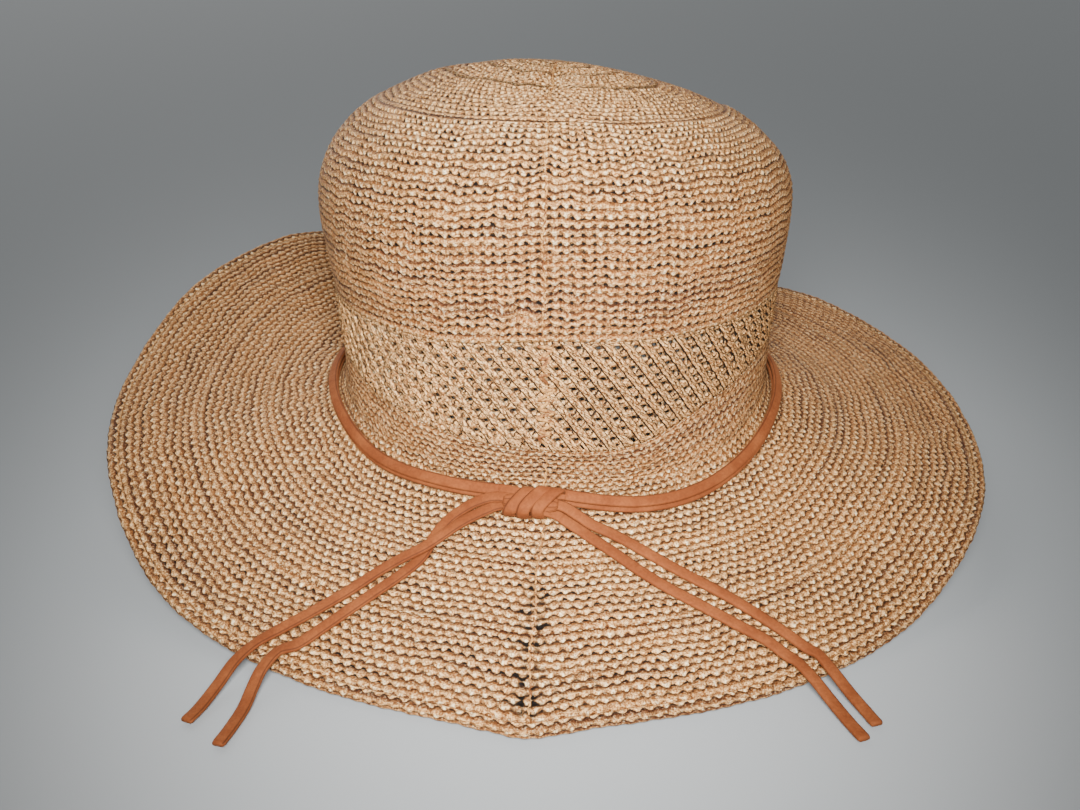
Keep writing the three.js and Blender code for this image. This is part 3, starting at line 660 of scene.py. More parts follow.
def strapRings(centre, up, width, thickness, sides=16, bow=0.12):
    # a rounded oblong set square to the path at each station, x = |cos|^0.45 across and y = |sin|^0.6
    # up with their signs, bowed a little upward by 1 - x^2
    along = unit(np.gradient(centre, axis=0))
    side = unit(np.cross(along, up))
    up = np.cross(side, along)
    turn = 2 * np.pi * np.arange(sides) / sides
    x = blunt(np.cos(turn), 0.45)
    y = blunt(np.sin(turn), 0.6) + bow * (1 - x**2)
    rings = (centre[:, None] + side[:, None] * (x * width / 2)[None, :, None]
             + up[:, None] * (y * thickness / 2)[None, :, None])
    u = np.broadcast_to(turn / (2 * np.pi) + 0.125, rings.shape[:2])
    v = np.broadcast_to(lengthAlong(centre)[:, None], rings.shape[:2])
    return rings, u, v


def makeTie(name):
    # a flat strap along a smooth curve through the table's points, facing as the table says; its ends
    # are square cuts, a little smaller so that their corners are soft
    t = tieSetup
    table = np.array(t[name])
    route = table[:, :3] + hatCentre
    s = lengthAlong(route)
    at = np.linspace(0, s[-1], t["stations"])
    centre, up = (np.stack([curveThrough(at, s, values[:, k]) for k in range(3)], -1)
                  for values in (route, table[:, 3:]))
    up = unit(up)
    rings, u, v = strapRings(centre, up, t["width"], t["thickness"])
    size = np.ones(len(rings))
    size[[0, -1]] = t["cutSize"]
    rings = centre[:, None] + (rings - centre[:, None]) * size[:, None, None]
    tie = closedTube(name + "_suede", rings, u, v, capped=True, material=laceSuede, slot="lace")
    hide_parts(name)
    strapRoutes[name] = (centre, up)


for tieName in ("tie_left_outer", "tie_left_inner", "tie_right_upper", "tie_right_lower"):
    makeTie(tieName)


# The lace round the crown's foot, and its knot

bandLace = {
    "path": np.array([
        (-358.6, 7.6), (-350, 10.0), (-343, 11.6), (-336, 12.0), (-329, 11.2), (-318, 9.1), (-304, 7.5),
        (-292, 6.2), (-270, 5.6), (-180, 5.6), (-90, 5.4), (-60, 5.8), (-32, 6.3), (-12.1, 6.6)]),
    # angle, mm down the flare; the upper run lies on the lower one, a little higher up the fillet
    "width": 4.0, "thickness": 1.6, "lift": 0.85, "stations": 420, "steps": 200,
    "runs": {"band_lace_upper": (1.1, 2.0), "band_lace_lower": (0.0, 0.0)},  # mm up the flare, mm raised
}


def makeBandLace(name, above, raised):
    # the lace's middle lies at a set reach down the flare, between the two steps whose lengths lie
    # either side of it, and its flat side follows the knit
    b = bandLace
    angle = np.linspace(b["path"][0, 0], b["path"][-1, 0], b["stations"])
    reach = curveThrough(angle, b["path"][:, 0], b["path"][:, 1]) - above
    t = np.linspace(0, 0.5, b["steps"])[:, None] + 0 * angle[None]
    length = lengthAlong(onBrim(angle[None] + 0 * t, t))
    i = np.clip((length <= reach[None]).sum(0) - 1, 0, b["steps"] - 2)
    k = np.arange(len(angle))
    place = t[i, k] + (t[1, 0] - t[0, 0]) * (reach - length[i, k]) / (length[i + 1, k] - length[i, k])
    out, _, _ = outOf(onBrim, angle, place)
    centre = onBrim(angle, place) + out * (b["lift"] + raised + b["thickness"] / 2)
    rings, u, v = strapRings(centre, out, b["width"], b["thickness"])
    lace = closedTube(name + "_suede", rings, u, v, capped=True, material=laceSuede, slot="lace")
    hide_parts(name)
    strapRoutes[name] = (centre, out)


for laceName, (above, raised) in bandLace["runs"].items():
    makeBandLace(laceName, above, raised)

knotSetup = {
    "angle": -5.3, "place": 0.235, "lift": 1.9, "halfDepth": 2.4,
    # each wrap: centre along the knot (mm), lean to the right going up, half height, half depth, width
    "wraps": [(-3.7, 3.3, 4.3, 2.5, 4.5), (1.2, 3.8, 4.8, 3.2, 4.5), (5.7, 3.3, 4.5, 2.9, 4.3)],
    "wrapPoints": 72, "wrapSway": 0.35,
    "core": {"halfLength": 9.4, "halfHeight": 3.4, "halfDepth": 2.1, "lobes": 4, "lobe": 0.12},
    # where each strap ends inside: along the knot, down it and out of it (mm), and which end it is
    "leads": {"tie_left_outer": (-2.0, 1.5, 0.5, 0), "tie_left_inner": (-2.0, -1.0, 0.9, 0),
              "tie_right_upper": (3.0, -0.5, 0.9, 0), "tie_right_lower": (2.5, 2.2, 0.3, 0),
              "band_lace_upper": (-2.0, -2.6, 0.9, -1), "band_lace_lower": (-2.0, -2.2, -0.4, -1),
              "band_lace_upper.right": (3.0, -2.4, 0.6, 0), "band_lace_lower.right": (3.0, -1.4, -0.8, 0)},
    "leadWidth": 3.85, "leadThickness": 1.5, "leadPoints": 15,
}


def leadStrap(name, inside, end):
    # a short strap from inside the knot to a strap's end: a cubic whose far end follows that strap
    k = knotSetup
    centre, up = strapRoutes[name.split(".")[0]]
    if end == -1:
        centre, up = centre[::-1], up[::-1]
    away = unit(centre[3] - centre[0])
    reach = np.linalg.norm(centre[0] - inside)
    t = np.linspace(0, 1, k["leadPoints"])[:, None]
    first = inside + away * reach * 0.3
    second = centre[0] - away * reach * 0.45
    path = ((1 - t) ** 3 * inside + 3 * (1 - t) ** 2 * t * first + 3 * (1 - t) * t**2 * second
            + t**3 * centre[0])
    path = np.concatenate([path, centre[0] + away * np.array([[0.4], [0.8]])])  # and 0.8 mm on, inside it
    rings, u, v = strapRings(path, np.repeat(up[:1], len(path), 0), k["leadWidth"], k["leadThickness"])
    lead = closedTube("lead_" + name.replace(".", "_"), rings, u, v, capped=True, material=laceSuede,
                      slot="lace")
    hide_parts("knot")


def wrapRings(number, middle, around, down, out):
    # a flat wrap: its path goes once round the bundle on a squarish oval and leans with its height,
    # and its section is a rounded oblong set square to that path
    k = knotSetup
    centre, lean, halfHeight, halfDepth, width = k["wraps"][number]
    turn = np.linspace(0, 2 * np.pi, k["wrapPoints"] + 1)[:-1]
    height, depth = blunt(np.cos(turn), 0.55), blunt(np.sin(turn), 0.75)
    path = (middle + np.outer(centre - lean * height, around) + np.outer(halfHeight * height, down)
            + np.outer(halfDepth * depth, out))
    path = path + np.outer(k["wrapSway"] * np.sin(2 * turn + number), around)
    outward = unit(np.outer(np.cos(turn) / halfHeight, down) + np.outer(np.sin(turn) / halfDepth, out))
    closed = np.concatenate([path[-1:], path, path[:1]])
    along = unit(closed[2:] - closed[:-2])
    side = unit(np.cross(along, outward))
    up = np.cross(side, along)
    section = 2 * np.pi * np.arange(16) / 16
    x = blunt(np.cos(section), 0.5) * width / 2
    y = blunt(np.sin(section), 0.7) * 0.75 + 0.2 * (1 - (2 * x / width) ** 2)
    rings = path[:, None] + side[:, None] * x[None, :, None] + up[:, None] * y[None, :, None]
    u = np.broadcast_to(section / (2 * np.pi) + 0.125, rings.shape[:2])
    return rings, u, np.broadcast_to((turn * 4)[:, None], rings.shape[:2])


def coreRings(middle, around, down, out):
    # the laces inside as a lumpy bar: its half width falls off as (1 - |x|^2.6)^0.5 toward the ends,
    # and cos(lobes times the turn round it) makes the lumps
    core = knotSetup["core"]
    x = np.linspace(-1, 1, 33)
    turn = 2 * np.pi * np.arange(24) / 24
    fat = ((1 - np.abs(x) ** 2.6) ** 0.5 * 0.6 + 0.4)[:, None]
    fat = fat * (1 + core["lobe"] * np.cos(core["lobes"] * turn[None] + 2.5 * x[:, None]))
    rings = (middle + np.multiply.outer(x * core["halfLength"], around)[:, None]
             + (fat * np.cos(turn))[..., None] * down * core["halfHeight"]
             + (fat * np.sin(turn))[..., None] * out * core["halfDepth"])
    u = np.broadcast_to(turn / (2 * np.pi) * 4, rings.shape[:2])
    return rings, u, np.broadcast_to((x * 9)[:, None], rings.shape[:2])


def makeKnot():
    # wraps, core and leads, placed from a middle that is off the brim by its lift and half its depth
    k = knotSetup
    angle, place = np.array([k["angle"]]), np.array([k["place"]])
    out, down, around = (v[0] for v in outOf(onBrim, angle, place))
    middle = onBrim(angle, place)[0] + out * (k["lift"] + k["halfDepth"])
    parts = {"knot_wrap_%d" % (number + 1): wrapRings(number, middle, around, down, out)
             for number in range(len(k["wraps"]))}
    parts["knot_core"] = coreRings(middle, around, down, out)
    for name, (rings, u, v) in parts.items():
        piece = closedTube(name, rings, u, v, capped=name == "knot_core", material=laceSuede, slot="lace")
        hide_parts("knot")
    for name, (x, y, z, end) in k["leads"].items():
        leadStrap(name, middle + around * x + down * y + out * z, end)


makeKnot()


# Knitted pieces: fine stitches outside, a plain wall behind

knitSetup = {
    "quadsPerRow": 4, "quadsPerStitch": 5,
    # how far the seam draws the stitches together and how deep it lies (mm)
    "seamWidth": 4.2, "seamDepth": 0.3,
    # how far the rows wander (rows), slow swells of the skin (mm) and how unevenly full the stitches are
    "wander": 0.22, "swell": 0.35, "uneven": 0.16,
    # how strong the painted gap shade is at the back beside the front, and over how many degrees that changes
    "backGapShade": 0.66, "frontDegrees": 50,
    # of each piece: its rows of those on the whole surface; relief, pits and lobes of the stitches; how
    # strong the painted shade in the seam's gaps is, and how much more so toward the edge
    "crownRows": 54, "crownSpan": (-0.999, 8.0),
    "crownSide": {"rows": (25, 54), "stitches": 160, "relief": 0.85, "lobes": 0.18, "wave": 0.08,
                  "stagger": 0.0, "pit": 0.8, "insideRows": 7, "seed": 11, "seamGapShade": (0.35, 0.0),
                  # its rows rise toward the seam: by how many rows, at which row, over rows and degrees
                  "rise": {"by": 1.1, "at": 27, "rows": 7, "degrees": 14}},
    # the tip's rings have more stitches as they widen: first row, last row, stitches
    "crownTip": {"rows": (0, 25), "columns": 560,
                 "rings": [(0, 2, 14), (2, 5, 28), (5, 9, 56), (9, 15, 84), (15, 25, 126)],
                 "relief": 0.7, "lobes": 0.08, "wave": 0.13, "stagger": 0.5, "pit": 0.3, "insideRows": 8,
                 "seed": 21, "seamGapShade": (0.3, 0.0), "firstRow": 0.04},
    "collarRows": 11, "collarFoot": 0.17,
    "collar": {"rows": (0, 11), "stitches": 170, "relief": 0.45, "lobes": 0.12, "wave": 0.14, "stagger": 0.5,
               "pit": 0.25, "insideRows": 12, "seed": 31, "seamGapShade": (0.3, 0.0)},
    "brimRows": 28,
    "brim": [{"rows": (0, 9), "stitches": 180, "seed": 41}, {"rows": (9, 18), "stitches": 212, "seed": 51},
             {"rows": (18, 28), "stitches": 244, "seed": 61}],
    "brimStitch": {"relief": 0.62, "lobes": 0.1, "wave": 0.15, "stagger": 0.5, "pit": 0.25, "insideRows": 6,
                   "seamGapShade": (0.3, 0.8)},
}


def knitGrid(how, columns, stitches):
    # columns at even turns from the seam, half a step on, so that one falls on every low point of the
    # lines; rows that go straight from each wavy line, n + wave*cos(2 pi (stitch + stagger*n)), to the
    # next. Returns angle, stitch, row value, the knitted row n and the share w across it
    first, last = how["rows"]
    quads = knitSetup["quadsPerRow"]
    turn = (np.arange(columns) + 0.5) / columns
    stitch = stitches * turn[None]
    n = np.append(np.repeat(np.arange(first, last), quads), last)[:, None]
    w = np.append(np.tile(np.arange(quads) / quads, last - first), 0.0)[:, None]
    low = n + how["wave"] * np.cos(2 * np.pi * (stitch + how["stagger"] * n))
    high = n + 1 + how["wave"] * np.cos(2 * np.pi * (stitch + how["stagger"] * (n + 1)))
    row = low * (1 - w) + high * w
    row = np.where((n == first) & (w == 0), first, np.where(n == last, last, row))  # straight ends
    return seamAngle + 360 * turn, stitch, row, n, w


def reliefOf(n, w, stitch, angle, how):
    # each row rises slowly from under the one above and drops at its lower lip, fuller where the lip
    # hangs lowest, with a pit where the line rises, and slow changes in how full it is; mm
    ridge = np.interp(w, [0.0, 0.25, 0.5, 0.75, 1.0], [0.0, 0.62, 0.9, 1.0, 0.0])
    lip = np.cos(2 * np.pi * (stitch + how["stagger"] * (n + 1)))
    full = 1 - how["lobes"] + how["lobes"] * lip * smoothStep(w, 0.2, 0.7)
    side = (stitch + how["stagger"] * n) % 1 - 0.5
    pit = np.exp(-(side / 0.16) ** 2) * (w < 0.01)
    loose = 1 + knitSetup["uneven"] * ripple(angle, n, how["seed"], (20, 150), (0.1, 0.5))
    return how["relief"] * ((ridge - 0.66) * full * loose - how["pit"] * pit)


def bentRows(row, angle, how):
    # the rows' slow bends, none at the piece's ends, and a rise toward the seam in the crown's middle
    ends = smoothStep(row - row.min(), 0, 3) * smoothStep(row.max() - row, 0, 3)
    bend = knitSetup["wander"] * ripple(angle, row, how["seed"] + 3, (4, 60), (0.02, 0.12))
    if "rise" in how:
        rise = how["rise"]
        bend = bend - (rise["by"] * np.exp(-np.abs(fromSeam(angle)) / rise["degrees"])
                       * np.exp(-((row - rise["at"]) / rise["rows"]) ** 2))
    return row + bend * ends


def gapShadeOf(row, angle, count, how):
    # strength of the dark lines' painted shade: slow changes, less by the hem, at the back and at the ends
    fromEnd = np.minimum(row - row.min(), row.max() - row)
    slow = np.clip(0.85 + 0.3 * ripple(angle, row, how["seed"] + 9, (4, 30), (0.05, 0.4)), 0.3, 1.25)
    slow = slow * (1 - 0.8 * smoothStep(row, count - 0.35, count - 0.1))
    back = knitSetup["backGapShade"]
    slow = slow * (back + (1 - back) * np.exp(-(fromSeam(angle) / knitSetup["frontDegrees"]) ** 2))
    return slow * (0.15 + 0.85 * smoothStep(fromEnd, 0.02, 0.4))


def knitPiece(name, surface, grid, how, count, span, node, material, wallMm, pole=False):
    # outer rows at even shares of each meridian, moved out by the relief; inner rows a wall behind;
    # both joined into one closed shell, or capped at the pole
    angle, stitch, shareRow, n, w = grid
    seed = how["seed"]
    a = angle[None] + 0 * shareRow
    row = evenRows(surface, angle, *span, bentRows(shareRow, a, how) / count)
    point = surface(a, row)
    out, _, _ = outOf(surface, a, row)
    beside = fromSeam(a) * np.pi / 180 * np.hypot(point[..., 0], point[..., 1])
    wander = 0.6 * np.sin(shareRow * 1.9 + seed) + 0.5 * np.sin(shareRow * 4.3 + 2 * seed)
    near = np.exp(-((beside - wander) / knitSetup["seamWidth"]) ** 2)
    near = near * smoothStep(np.abs(beside - 0.3 * wander), 0.25, 0.8)
    slow = ripple(a, shareRow, seed + 5, (3, 14), (0.01, 0.09)) * knitSetup["swell"]
    edge = smoothStep(shareRow.max() - shareRow, 0, 0.5)
    if pole:
        slow = slow * smoothStep(shareRow, 2, 14)
    else:
        edge = smoothStep(shareRow - shareRow.min(), 0, 0.5) * edge
    relief = reliefOf(n, w, stitch, a, how)
    skin = point + out * ((relief + slow - knitSetup["seamDepth"] * near) * edge)[..., None]
    pick = np.unique(np.linspace(0, len(row) - 1, how["insideRows"]).astype(int))[::-1]
    rings = np.concatenate([skin, point[pick] - out[pick] * wallMm])
    u, v = stitch + 0 * row, shareRow + 0 * row
    u, v = np.concatenate([u, u[pick]]), np.concatenate([v, v[pick]])
    # the strength of the painted gap shade, and near the seam how much wider and darker its lines are
    gapShade = gapShadeOf(shareRow, a, count, how)
    seamGapShade, moreOut = how["seamGapShade"]
    near = near * (seamGapShade + moreOut * smoothStep(shareRow / count, 0.35, 0.55))
    marks = {"seamNear": np.concatenate([near, 0 * near[pick]]),
             "gapShade": np.concatenate([gapShade, gapShade[pick]])}
    piece = closedTube(name, rings, u, v, capped=pole, marks=marks, material=material, slot="knit")
    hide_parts(node)


def makeCrown():
    # the side down to the openwork, and the tip, whose stitches double as its rings widen
    k = knitSetup
    side, tip = k["crownSide"], k["crownTip"]
    grid = knitGrid(side, side["stitches"] * k["quadsPerStitch"], side["stitches"])
    knitPiece("crown_side_knit", onCrown, grid, side, k["crownRows"], k["crownSpan"], "crown", crownKnit,
              hatShape["crownWall"])
    rows = np.append(np.repeat(np.arange(*tip["rows"]), k["quadsPerRow"]), tip["rows"][1])
    stitches = np.zeros(len(rows))
    for low, high, number in tip["rings"]:
        stitches[(rows >= low) & (rows <= high)] = number
    angle, stitch, row, n, w = knitGrid(tip, tip["columns"], stitches[:, None])
    row = np.maximum(row, tip["firstRow"])
    knitPiece("crown_tip_knit", onCrown, (angle, stitch, row, n, w), tip, k["crownRows"], k["crownSpan"],
              "crown", tipKnit, hatShape["crownWall"], pole=True)


def makeBrim():
    # the collar down from the openwork and round the fillet, and three rings of brim with more
    # stitches the farther out they are
    k = knitSetup
    collar, foot = k["collar"], k["collarFoot"]
    grid = knitGrid(collar, collar["stitches"] * k["quadsPerStitch"], collar["stitches"])
    knitPiece("collar_knit", onBrim, grid, collar, k["collarRows"], (-1.0, foot), "brim", collarKnit,
              hatShape["brimWall"])
    for number, part in enumerate(k["brim"]):
        how = {**k["brimStitch"], **part}
        grid = knitGrid(how, part["stitches"] * k["quadsPerStitch"], part["stitches"])
        knitPiece("brim_knit_%d" % (number + 1), onBrim, grid, how, k["brimRows"], (foot, hemStart(grid[0])),
                  "brim", brimKnit, hatShape["brimWall"])


makeCrown()
makeBrim()


# The thread that closes the seam, and the strand that crosses it in the openwork

seamSetup = {
    "thread": {"width": 0.6, "thickness": 0.55, "lift": 0.12, "dip": 0.34, "stitchMm": 3.1, "sway": 0.3,
               "stations": 420, "crown": (-0.6, 7.97), "brimStart": -0.98},
    "crossing": {"reach": 1.9, "every": 1.9, "width": 1.1, "thickness": 0.9, "lift": 0.55, "over": 0.45,
                 "seed": 5},
}


def besideSeam(mm, point):
    # the angle that lies this many mm round from the seam, at the point's distance from the axis
    return seamAngle + np.degrees(mm / np.hypot(point[:, 0], point[:, 1]))


def seamThread(node, surface, low, high):
    # a thread down the meridian at the seam, swaying with sin(2 pi length/stitch) and two slow waves,
    # and dipping between stitches with the cosine
    t = seamSetup["thread"]
    row = np.linspace(low, high, t["stations"])
    point = surface(seamAngle + 0 * row, row)
    length = lengthAlong(point)
    turn = 2 * np.pi * length / t["stitchMm"]
    sway = t["sway"] * np.sin(turn) + 0.45 * np.sin(length * 0.21 + 1) + 0.3 * np.sin(length * 0.083)
    angle = besideSeam(sway, point)
    out, _, _ = outOf(surface, angle, row)
    centre = surface(angle, row) + out * (t["lift"] + t["dip"] * np.cos(turn))[:, None]
    rings, u, v = strapRings(centre, out, t["width"], t["thickness"], sides=8)
    thread = closedTube("seam_thread_" + node, rings, u, v, capped=True, material=seamYarn, slot="knit")
    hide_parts(node)


def seamCrossing():
    # over the openwork a thicker strand runs across and back: a smooth curve through points that lie
    # left and right of the seam in turn, over the ribs and under with the cosine
    c = seamSetup["crossing"]
    top, foot = (column(hatShape["heights"], i, np.array([seamAngle]))[0] for i in (1, 2))
    rng = np.random.default_rng(c["seed"])
    count = int((top - foot - 2) / c["every"])
    knots = np.arange(count + 1)
    reach = c["reach"] * (1 + 0.6 * rng.uniform(-1, 1, count + 1)) * np.where(knots % 2, 1, -1)
    drop = knots * c["every"] + 1.0
    drop = np.clip(drop + rng.uniform(-1.1, 1.1, count + 1), 0.5, top - foot - 0.6)
    at = np.linspace(0, count, 26 * count)
    z = top - curveThrough(at, knots, drop)
    point = onWall(seamAngle + 0 * z, z)
    point = onWall(besideSeam(curveThrough(at, knots, reach), point), z)
    out = unit(point * [1, 1, 0])
    lift = c["lift"] + c["over"] * np.cos(np.pi * at) + 0.2 * np.sin(at * 2.3)
    rings, u, v = strapRings(point + out * lift[:, None], out, c["width"], c["thickness"], sides=8)
    strand = closedTube("seam_crossing_yarn", rings, u, v, capped=True, material=seamYarn, slot="openwork")
    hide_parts("openwork_band")


seamThread("crown", onCrown, *seamSetup["thread"]["crown"])
seamThread("brim", onBrim, seamSetup["thread"]["brimStart"], hemStart(np.array([seamAngle]))[0])
seamCrossing()


# The rolled hem round the brim's edge

hemSetup = {"height": 3.4, "skin": 0.15, "stitches": 244, "columns": 1464, "sides": 18, "rows": 5,
            "relief": 0.28, "slant": 0.12, "uneven": 0.12, "place": 0.98}


def makeHem():
    # a flattened roll along the edge, knitted as the brim is: five rows go round the roll, each with
    # its own low ridge, (1 - |cos(pi v)|)^0.6 high, and stitches that slant with the roll
    h = hemSetup
    turn = (np.arange(h["columns"]) + 0.5) / h["columns"]
    angle = seamAngle + 360 * turn
    out, down, _ = outOf(onBrim, angle, np.full_like(angle, h["place"]))
    centre = flarePoints(angle)[3] - down * hatShape["hemWidth"] / 2 - out * hatShape["brimWall"] / 2
    share = np.arange(h["sides"]) / h["sides"]
    around = 2 * np.pi * (share - 0.25)
    v = np.broadcast_to((h["rows"] * (0.75 - share))[:, None], (h["sides"], h["columns"]))
    u = np.broadcast_to((h["stitches"] * turn)[None], v.shape)
    ridge = (1 - np.abs(np.cos(np.pi * v))) ** 0.6
    loose = ripple(angle, 0 * angle, 71, (10, 120), (0.0, 0.01))[None]
    size = (h["relief"] * (ridge - 0.75) + h["slant"] * np.cos(2 * np.pi * (u + 0.5 * np.floor(v)))
            + h["uneven"] * loose)
    x, y = blunt(np.cos(around), 0.75)[:, None], blunt(np.sin(around), 0.8)[:, None]
    rings = (centre[None] + down[None] * (x * (hatShape["hemWidth"] / 2 - h["skin"] + size))[..., None]
             + out[None] * (y * (h["height"] / 2 - h["skin"] + size))[..., None])
    # no seam, and a fixed strength of painted gap shade
    marks = {"seamNear": 0 * u, "gapShade": 0 * u + 0.8}
    hem = closedTube("rim_hem_knit", rings, u, v, marks=marks, material=brimKnit, slot="hem")
    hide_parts("rim_hem")


makeHem()


# The openwork band: leaning ribs of doubled yarn with small rungs between them and real holes

openworkSetup = {
    "ribs": 84, "slope": 51.0, "radius": 91.0, "wall": 2.0, "rungPitch": 3.7, "rungs": 12, "rungRise": 1.1,
    "edge": 1.7, "footHole": 1.7, "shortest": 0.05, "lowestHole": 0.35, "room": 0.5, "seamShut": 0.7,
    # share across one rib and its ladder, height there (mm), painted shade in the groove
    "profile": [
        (0.0, -0.45, 0.8), (0.05, 0.2, 0.0), (0.14, 0.55, 0.0), (0.26, 0.05, 0.3), (0.36, 0.55, 0.0),
        (0.47, 0.25, 0.1), (0.54, -0.45, 0.7), (0.62, -0.3, 0.15), (0.86, -0.15, 0.1), (0.93, 0.1, 0.1)],
    "ladder": (0.5, 0.58), "holeColumn": 0.62,  # where the rise and the rungs begin, and the hole
    # share down one rung, height there, painted shade in the groove; the first two rows bound the hole
    "rung": [(0.0, -0.4, 0.5), (0.23, -0.4, 0.6), (0.38, 0.35, 0.0), (0.62, 0.6, 0.0), (0.86, 0.25, 0.15)],
}


def onBand(angle, drop):
    # drop is mm below the openwork's top edge; the ribs lean toward +X as they go down. Returns the
    # turned angle, the top edge's height there, and how high the band is
    o = openworkSetup
    turned = angle + drop * np.degrees(1 / (o["radius"] * math.tan(math.radians(o["slope"]))))
    top = column(hatShape["heights"], 1, turned) - hatShape["gap"] / 2
    return turned, top, top - column(hatShape["heights"], 2, turned) - hatShape["gap"] / 2


def bandGrid(share, angle):
    # rows of the band in mm below its top: two of the edge, the rows down every rung, which rise to
    # the right, and two of the foot's edge. Rows past the last hole are squeezed onto one line. kind
    # is each row's place in its rung, -1 and -2 in the edges, and -3 under the foot's row of holes
    o = openworkSetup
    inRung = np.array(o["rung"])[:, 0]
    drops = np.array([0.0, o["edge"] * 0.5]
                     + [o["edge"] + o["rungPitch"] * (k + s) for k in range(o["rungs"]) for s in inRung])
    kind = np.array([-2, -1] + list(range(len(inRung))) * o["rungs"] + [-3, -1])
    a = angle[None] + 0 * drops[:, None]
    d = drops[:, None] + 0 * angle[None]
    d = d - o["rungRise"] * (share[None] - 0.7) * (share >= o["ladder"][0])[None] * (kind[:-2] >= 0)[:, None]
    for _ in range(3):
        _, _, height = onBand(a, np.minimum(d, 45))
        last = height - 0.5 * o["edge"] - o["footHole"]
        squeezed = d >= last
        d = np.minimum(d, last)
    foot = onBand(angle, height[-1])[2]
    d = np.concatenate([d, [foot - 0.5 * o["edge"], foot]])
    squeezed = np.concatenate([squeezed, np.zeros((2, len(angle)), bool)])
    return d, np.concatenate([a, [angle, angle]]), kind, squeezed, foot


def bandFaces(d, kind, share, foot, near):
    # quads between neighbouring columns and rows, as corner numbers, and which of them are kept whole
    # or as triangles. A point at the same height as the one above it in its column is that point, a
    # quad with one side shut is a triangle, and the holes are left out
    o = openworkSetup
    rows, n = d.shape
    k = np.arange(n)[None]
    m = ((k + 1) % n)[0]
    starts = np.concatenate([np.ones((1, n), bool), np.diff(d, axis=0) > o["shortest"]])
    first = np.maximum.accumulate(np.where(starts, np.arange(rows)[:, None], 0), axis=0) * n + k
    faces = np.stack([first[:-1], first[1:], first[1:, m], first[:-1, m]], -1).reshape(-1, 4)
    ladder = np.isclose(share, o["holeColumn"])[None]
    room = foot[None] - 0.5 * o["edge"] - o["footHole"] - d[1:]  # to the row of holes along the foot
    roomy = np.minimum(room, np.roll(room, -1, 1)) > o["room"]
    hole = ladder & (kind[:-1] == 0)[:, None] & (near[:-1] < o["seamShut"]) & roomy
    hole = hole | (ladder & (kind[1:] == -3)[:, None])
    keep = ~(hole & (d[1:] - d[:-1] > o["lowestHole"])).ravel()
    shutLeft, shutRight = faces[:, 0] == faces[:, 1], faces[:, 2] == faces[:, 3]
    return faces, [(keep & ~shutLeft & ~shutRight, [0, 1, 2, 3]), (keep & shutLeft & ~shutRight, [0, 2, 3]),
                   (keep & ~shutLeft & shutRight, [0, 1, 2])]


def makeOpenwork():
    # the band's wall, moved out by the height of ribs and rungs, each read from its table; ribs also
    # swell with sin(2 pi (rung - 1.4 share)), and near the seam all of it is drawn flat
    o = openworkSetup
    profile, rung = np.array(o["profile"]), np.array(o["rung"])
    cell = np.repeat(np.arange(o["ribs"]), len(profile))
    share, ribHeight, ribGroove = (np.tile(values, o["ribs"]) for values in profile.T)
    angle = -180 + 360 * (cell + share) / o["ribs"]
    d, a, kind, squeezed, foot = bandGrid(share, angle)
    turned, top, _ = onBand(a, d)
    point = onWall(turned, top - d)
    out = unit(point * [1, 1, 0])
    inLadder, edgeRow = (share >= o["ladder"][1])[None], (kind < 0)[:, None]
    rungHeight, rungGroove = rung[np.maximum(kind, 0), 1:].T[..., None]
    rise = np.where(inLadder & ~edgeRow, rungHeight - 0.35, ribHeight[None])
    # painted shade in the grooves, read from the tables and even along the edges and squeezed rows
    grooveShade = np.where(inLadder & ~edgeRow, rungGroove, ribGroove[None])
    rise = np.where(edgeRow | squeezed & inLadder, 0.15, rise)
    grooveShade = np.where(edgeRow | squeezed, 0.25, grooveShade)
    v = (d - o["edge"]) / o["rungPitch"]
    rise = rise + 0.15 * ripple(a, d, 81, (30, 300), (0.05, 0.4))
    rise = rise + 0.2 * np.sin(2 * np.pi * (v - 1.4 * share[None])) * ~inLadder
    near = np.exp(-(fromSeam(turned) / 2.2) ** 2)
    rise = rise * (1 - 0.5 * near) + 0.5 * near
    skin = (point + out * rise[..., None]).reshape(-1, 3)
    faces, kinds = bandFaces(d, kind, share, foot, near)
    u = share[None] + cell[None] + 0 * d
    uNext, vNext = np.roll(u, -1, 1), np.roll(v, -1, 1)
    uNext[:, -1] = o["ribs"]
    corners = [(u[:-1], v[:-1]), (u[1:], v[1:]), (uNext[1:], vNext[1:]), (uNext[:-1], vNext[:-1])]
    uv = np.stack([np.stack(c, -1).reshape(-1, 2) for c in corners], 1)
    uv = np.concatenate([uv[pick][:, order].reshape(-1, 2) for pick, order in kinds])
    used = np.unique(np.concatenate([faces[pick][:, order].ravel() for pick, order in kinds]))
    rank = np.zeros(len(skin), int)
    rank[used] = np.arange(len(used))
    polygons = sum((rank[faces[pick][:, order]].tolist() for pick, order in kinds), [])
    band = addMesh("openwork_yarn", skin[used], polygons, uv, strandYarn, "openwork",
                   {"grooveShade": grooveShade.ravel()[used]})
    wall = band.modifiers.new("wall", "SOLIDIFY")
    wall.thickness, wall.offset = o["wall"] / 1000, -1
    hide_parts("openwork_band")


makeOpenwork()


# Floor and light

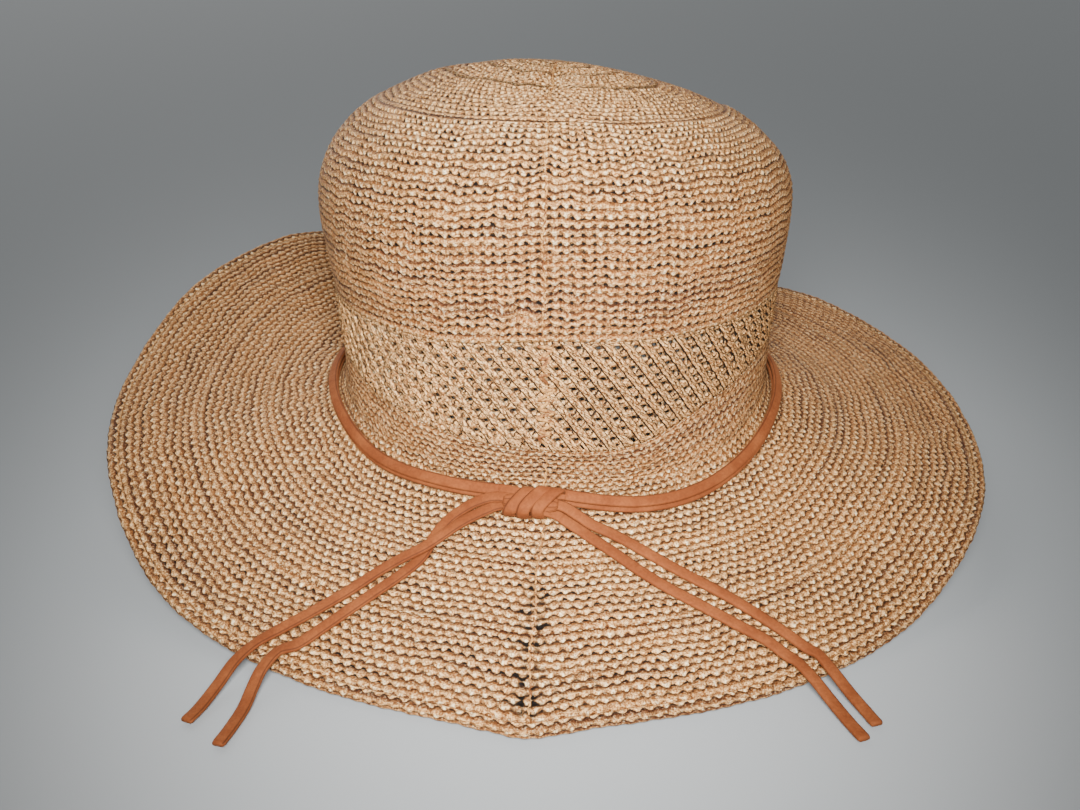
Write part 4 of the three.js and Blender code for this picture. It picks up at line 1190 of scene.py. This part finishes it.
studio = {
    "floor": tone(140, 143, 144), "roughness": 0.9, "floorHalf": 12.0, "floorHeight": -0.0003,
    "world": (0.93, 0.97, 1.0), "worldStrength": 0.2,
    # soft spot over the camera: where it is and what it points at (m), cone in degrees, radius of the lamp
    "key": {"place": (0.0, -0.45, 0.27), "aim": (0.0, -0.05, 0.055), "cone": 62.0, "radius": 0.08,
            "power": 41.0},
    # wide soft light from behind and above: where it comes from, W/m2 and spread in degrees
    "above": {"place": (-0.45, 1.0, 0.66), "strength": 1.9, "spread": 60.0},
}


def makeFloor():
    # one large square just under the hat
    half, height = studio["floorHalf"], studio["floorHeight"]
    mesh = bpy.data.meshes.new("floor")
    mesh.from_pydata([(half * x, half * y, height) for x, y in ((-1, -1), (1, -1), (1, 1), (-1, 1))], [],
                     [(0, 1, 2, 3)])
    floor = bpy.data.objects.new("floor", mesh)
    bpy.context.scene.collection.objects.link(floor)
    material, tree = newMaterial("floorPaper")
    shader = add(tree, "BsdfPrincipled", None, Base_Color=studio["floor"], Roughness=studio["roughness"])
    add(tree, "OutputMaterial", None, Surface=shader.outputs[0])
    mesh.materials.append(material)


def placeLight(name, data, place, aim):
    # turned so that its own -Z points from its place to the aim
    light = bpy.data.objects.new(name, data)
    light.location = place
    light.rotation_mode = "QUATERNION"
    light.rotation_quaternion = (Vector(aim) - Vector(place)).to_track_quat("-Z", "Y")
    bpy.context.scene.collection.objects.link(light)


def makeLights():
    # a soft spot near the camera that fades to its cone's edge, a wide light from behind and above
    # that reaches the whole floor, and a faint pale world
    key, above = studio["key"], studio["above"]
    lamp = bpy.data.lights.new("key", "SPOT")
    lamp.spot_size, lamp.spot_blend = math.radians(key["cone"]), 1.0
    lamp.shadow_soft_size, lamp.energy = key["radius"], key["power"]
    placeLight("key", lamp, key["place"], key["aim"])
    sky = bpy.data.lights.new("above", "SUN")
    sky.energy, sky.angle = above["strength"], math.radians(above["spread"])
    placeLight("above", sky, above["place"], (0, 0, 0))
    world = bpy.data.worlds.new("studio")
    world.use_nodes = True
    background = world.node_tree.nodes["Background"]
    background.inputs["Color"].default_value = (*studio["world"], 1)
    background.inputs["Strength"].default_value = studio["worldStrength"]
    bpy.context.scene.world = world


makeFloor()
makeLights()
print("floor and lights made")
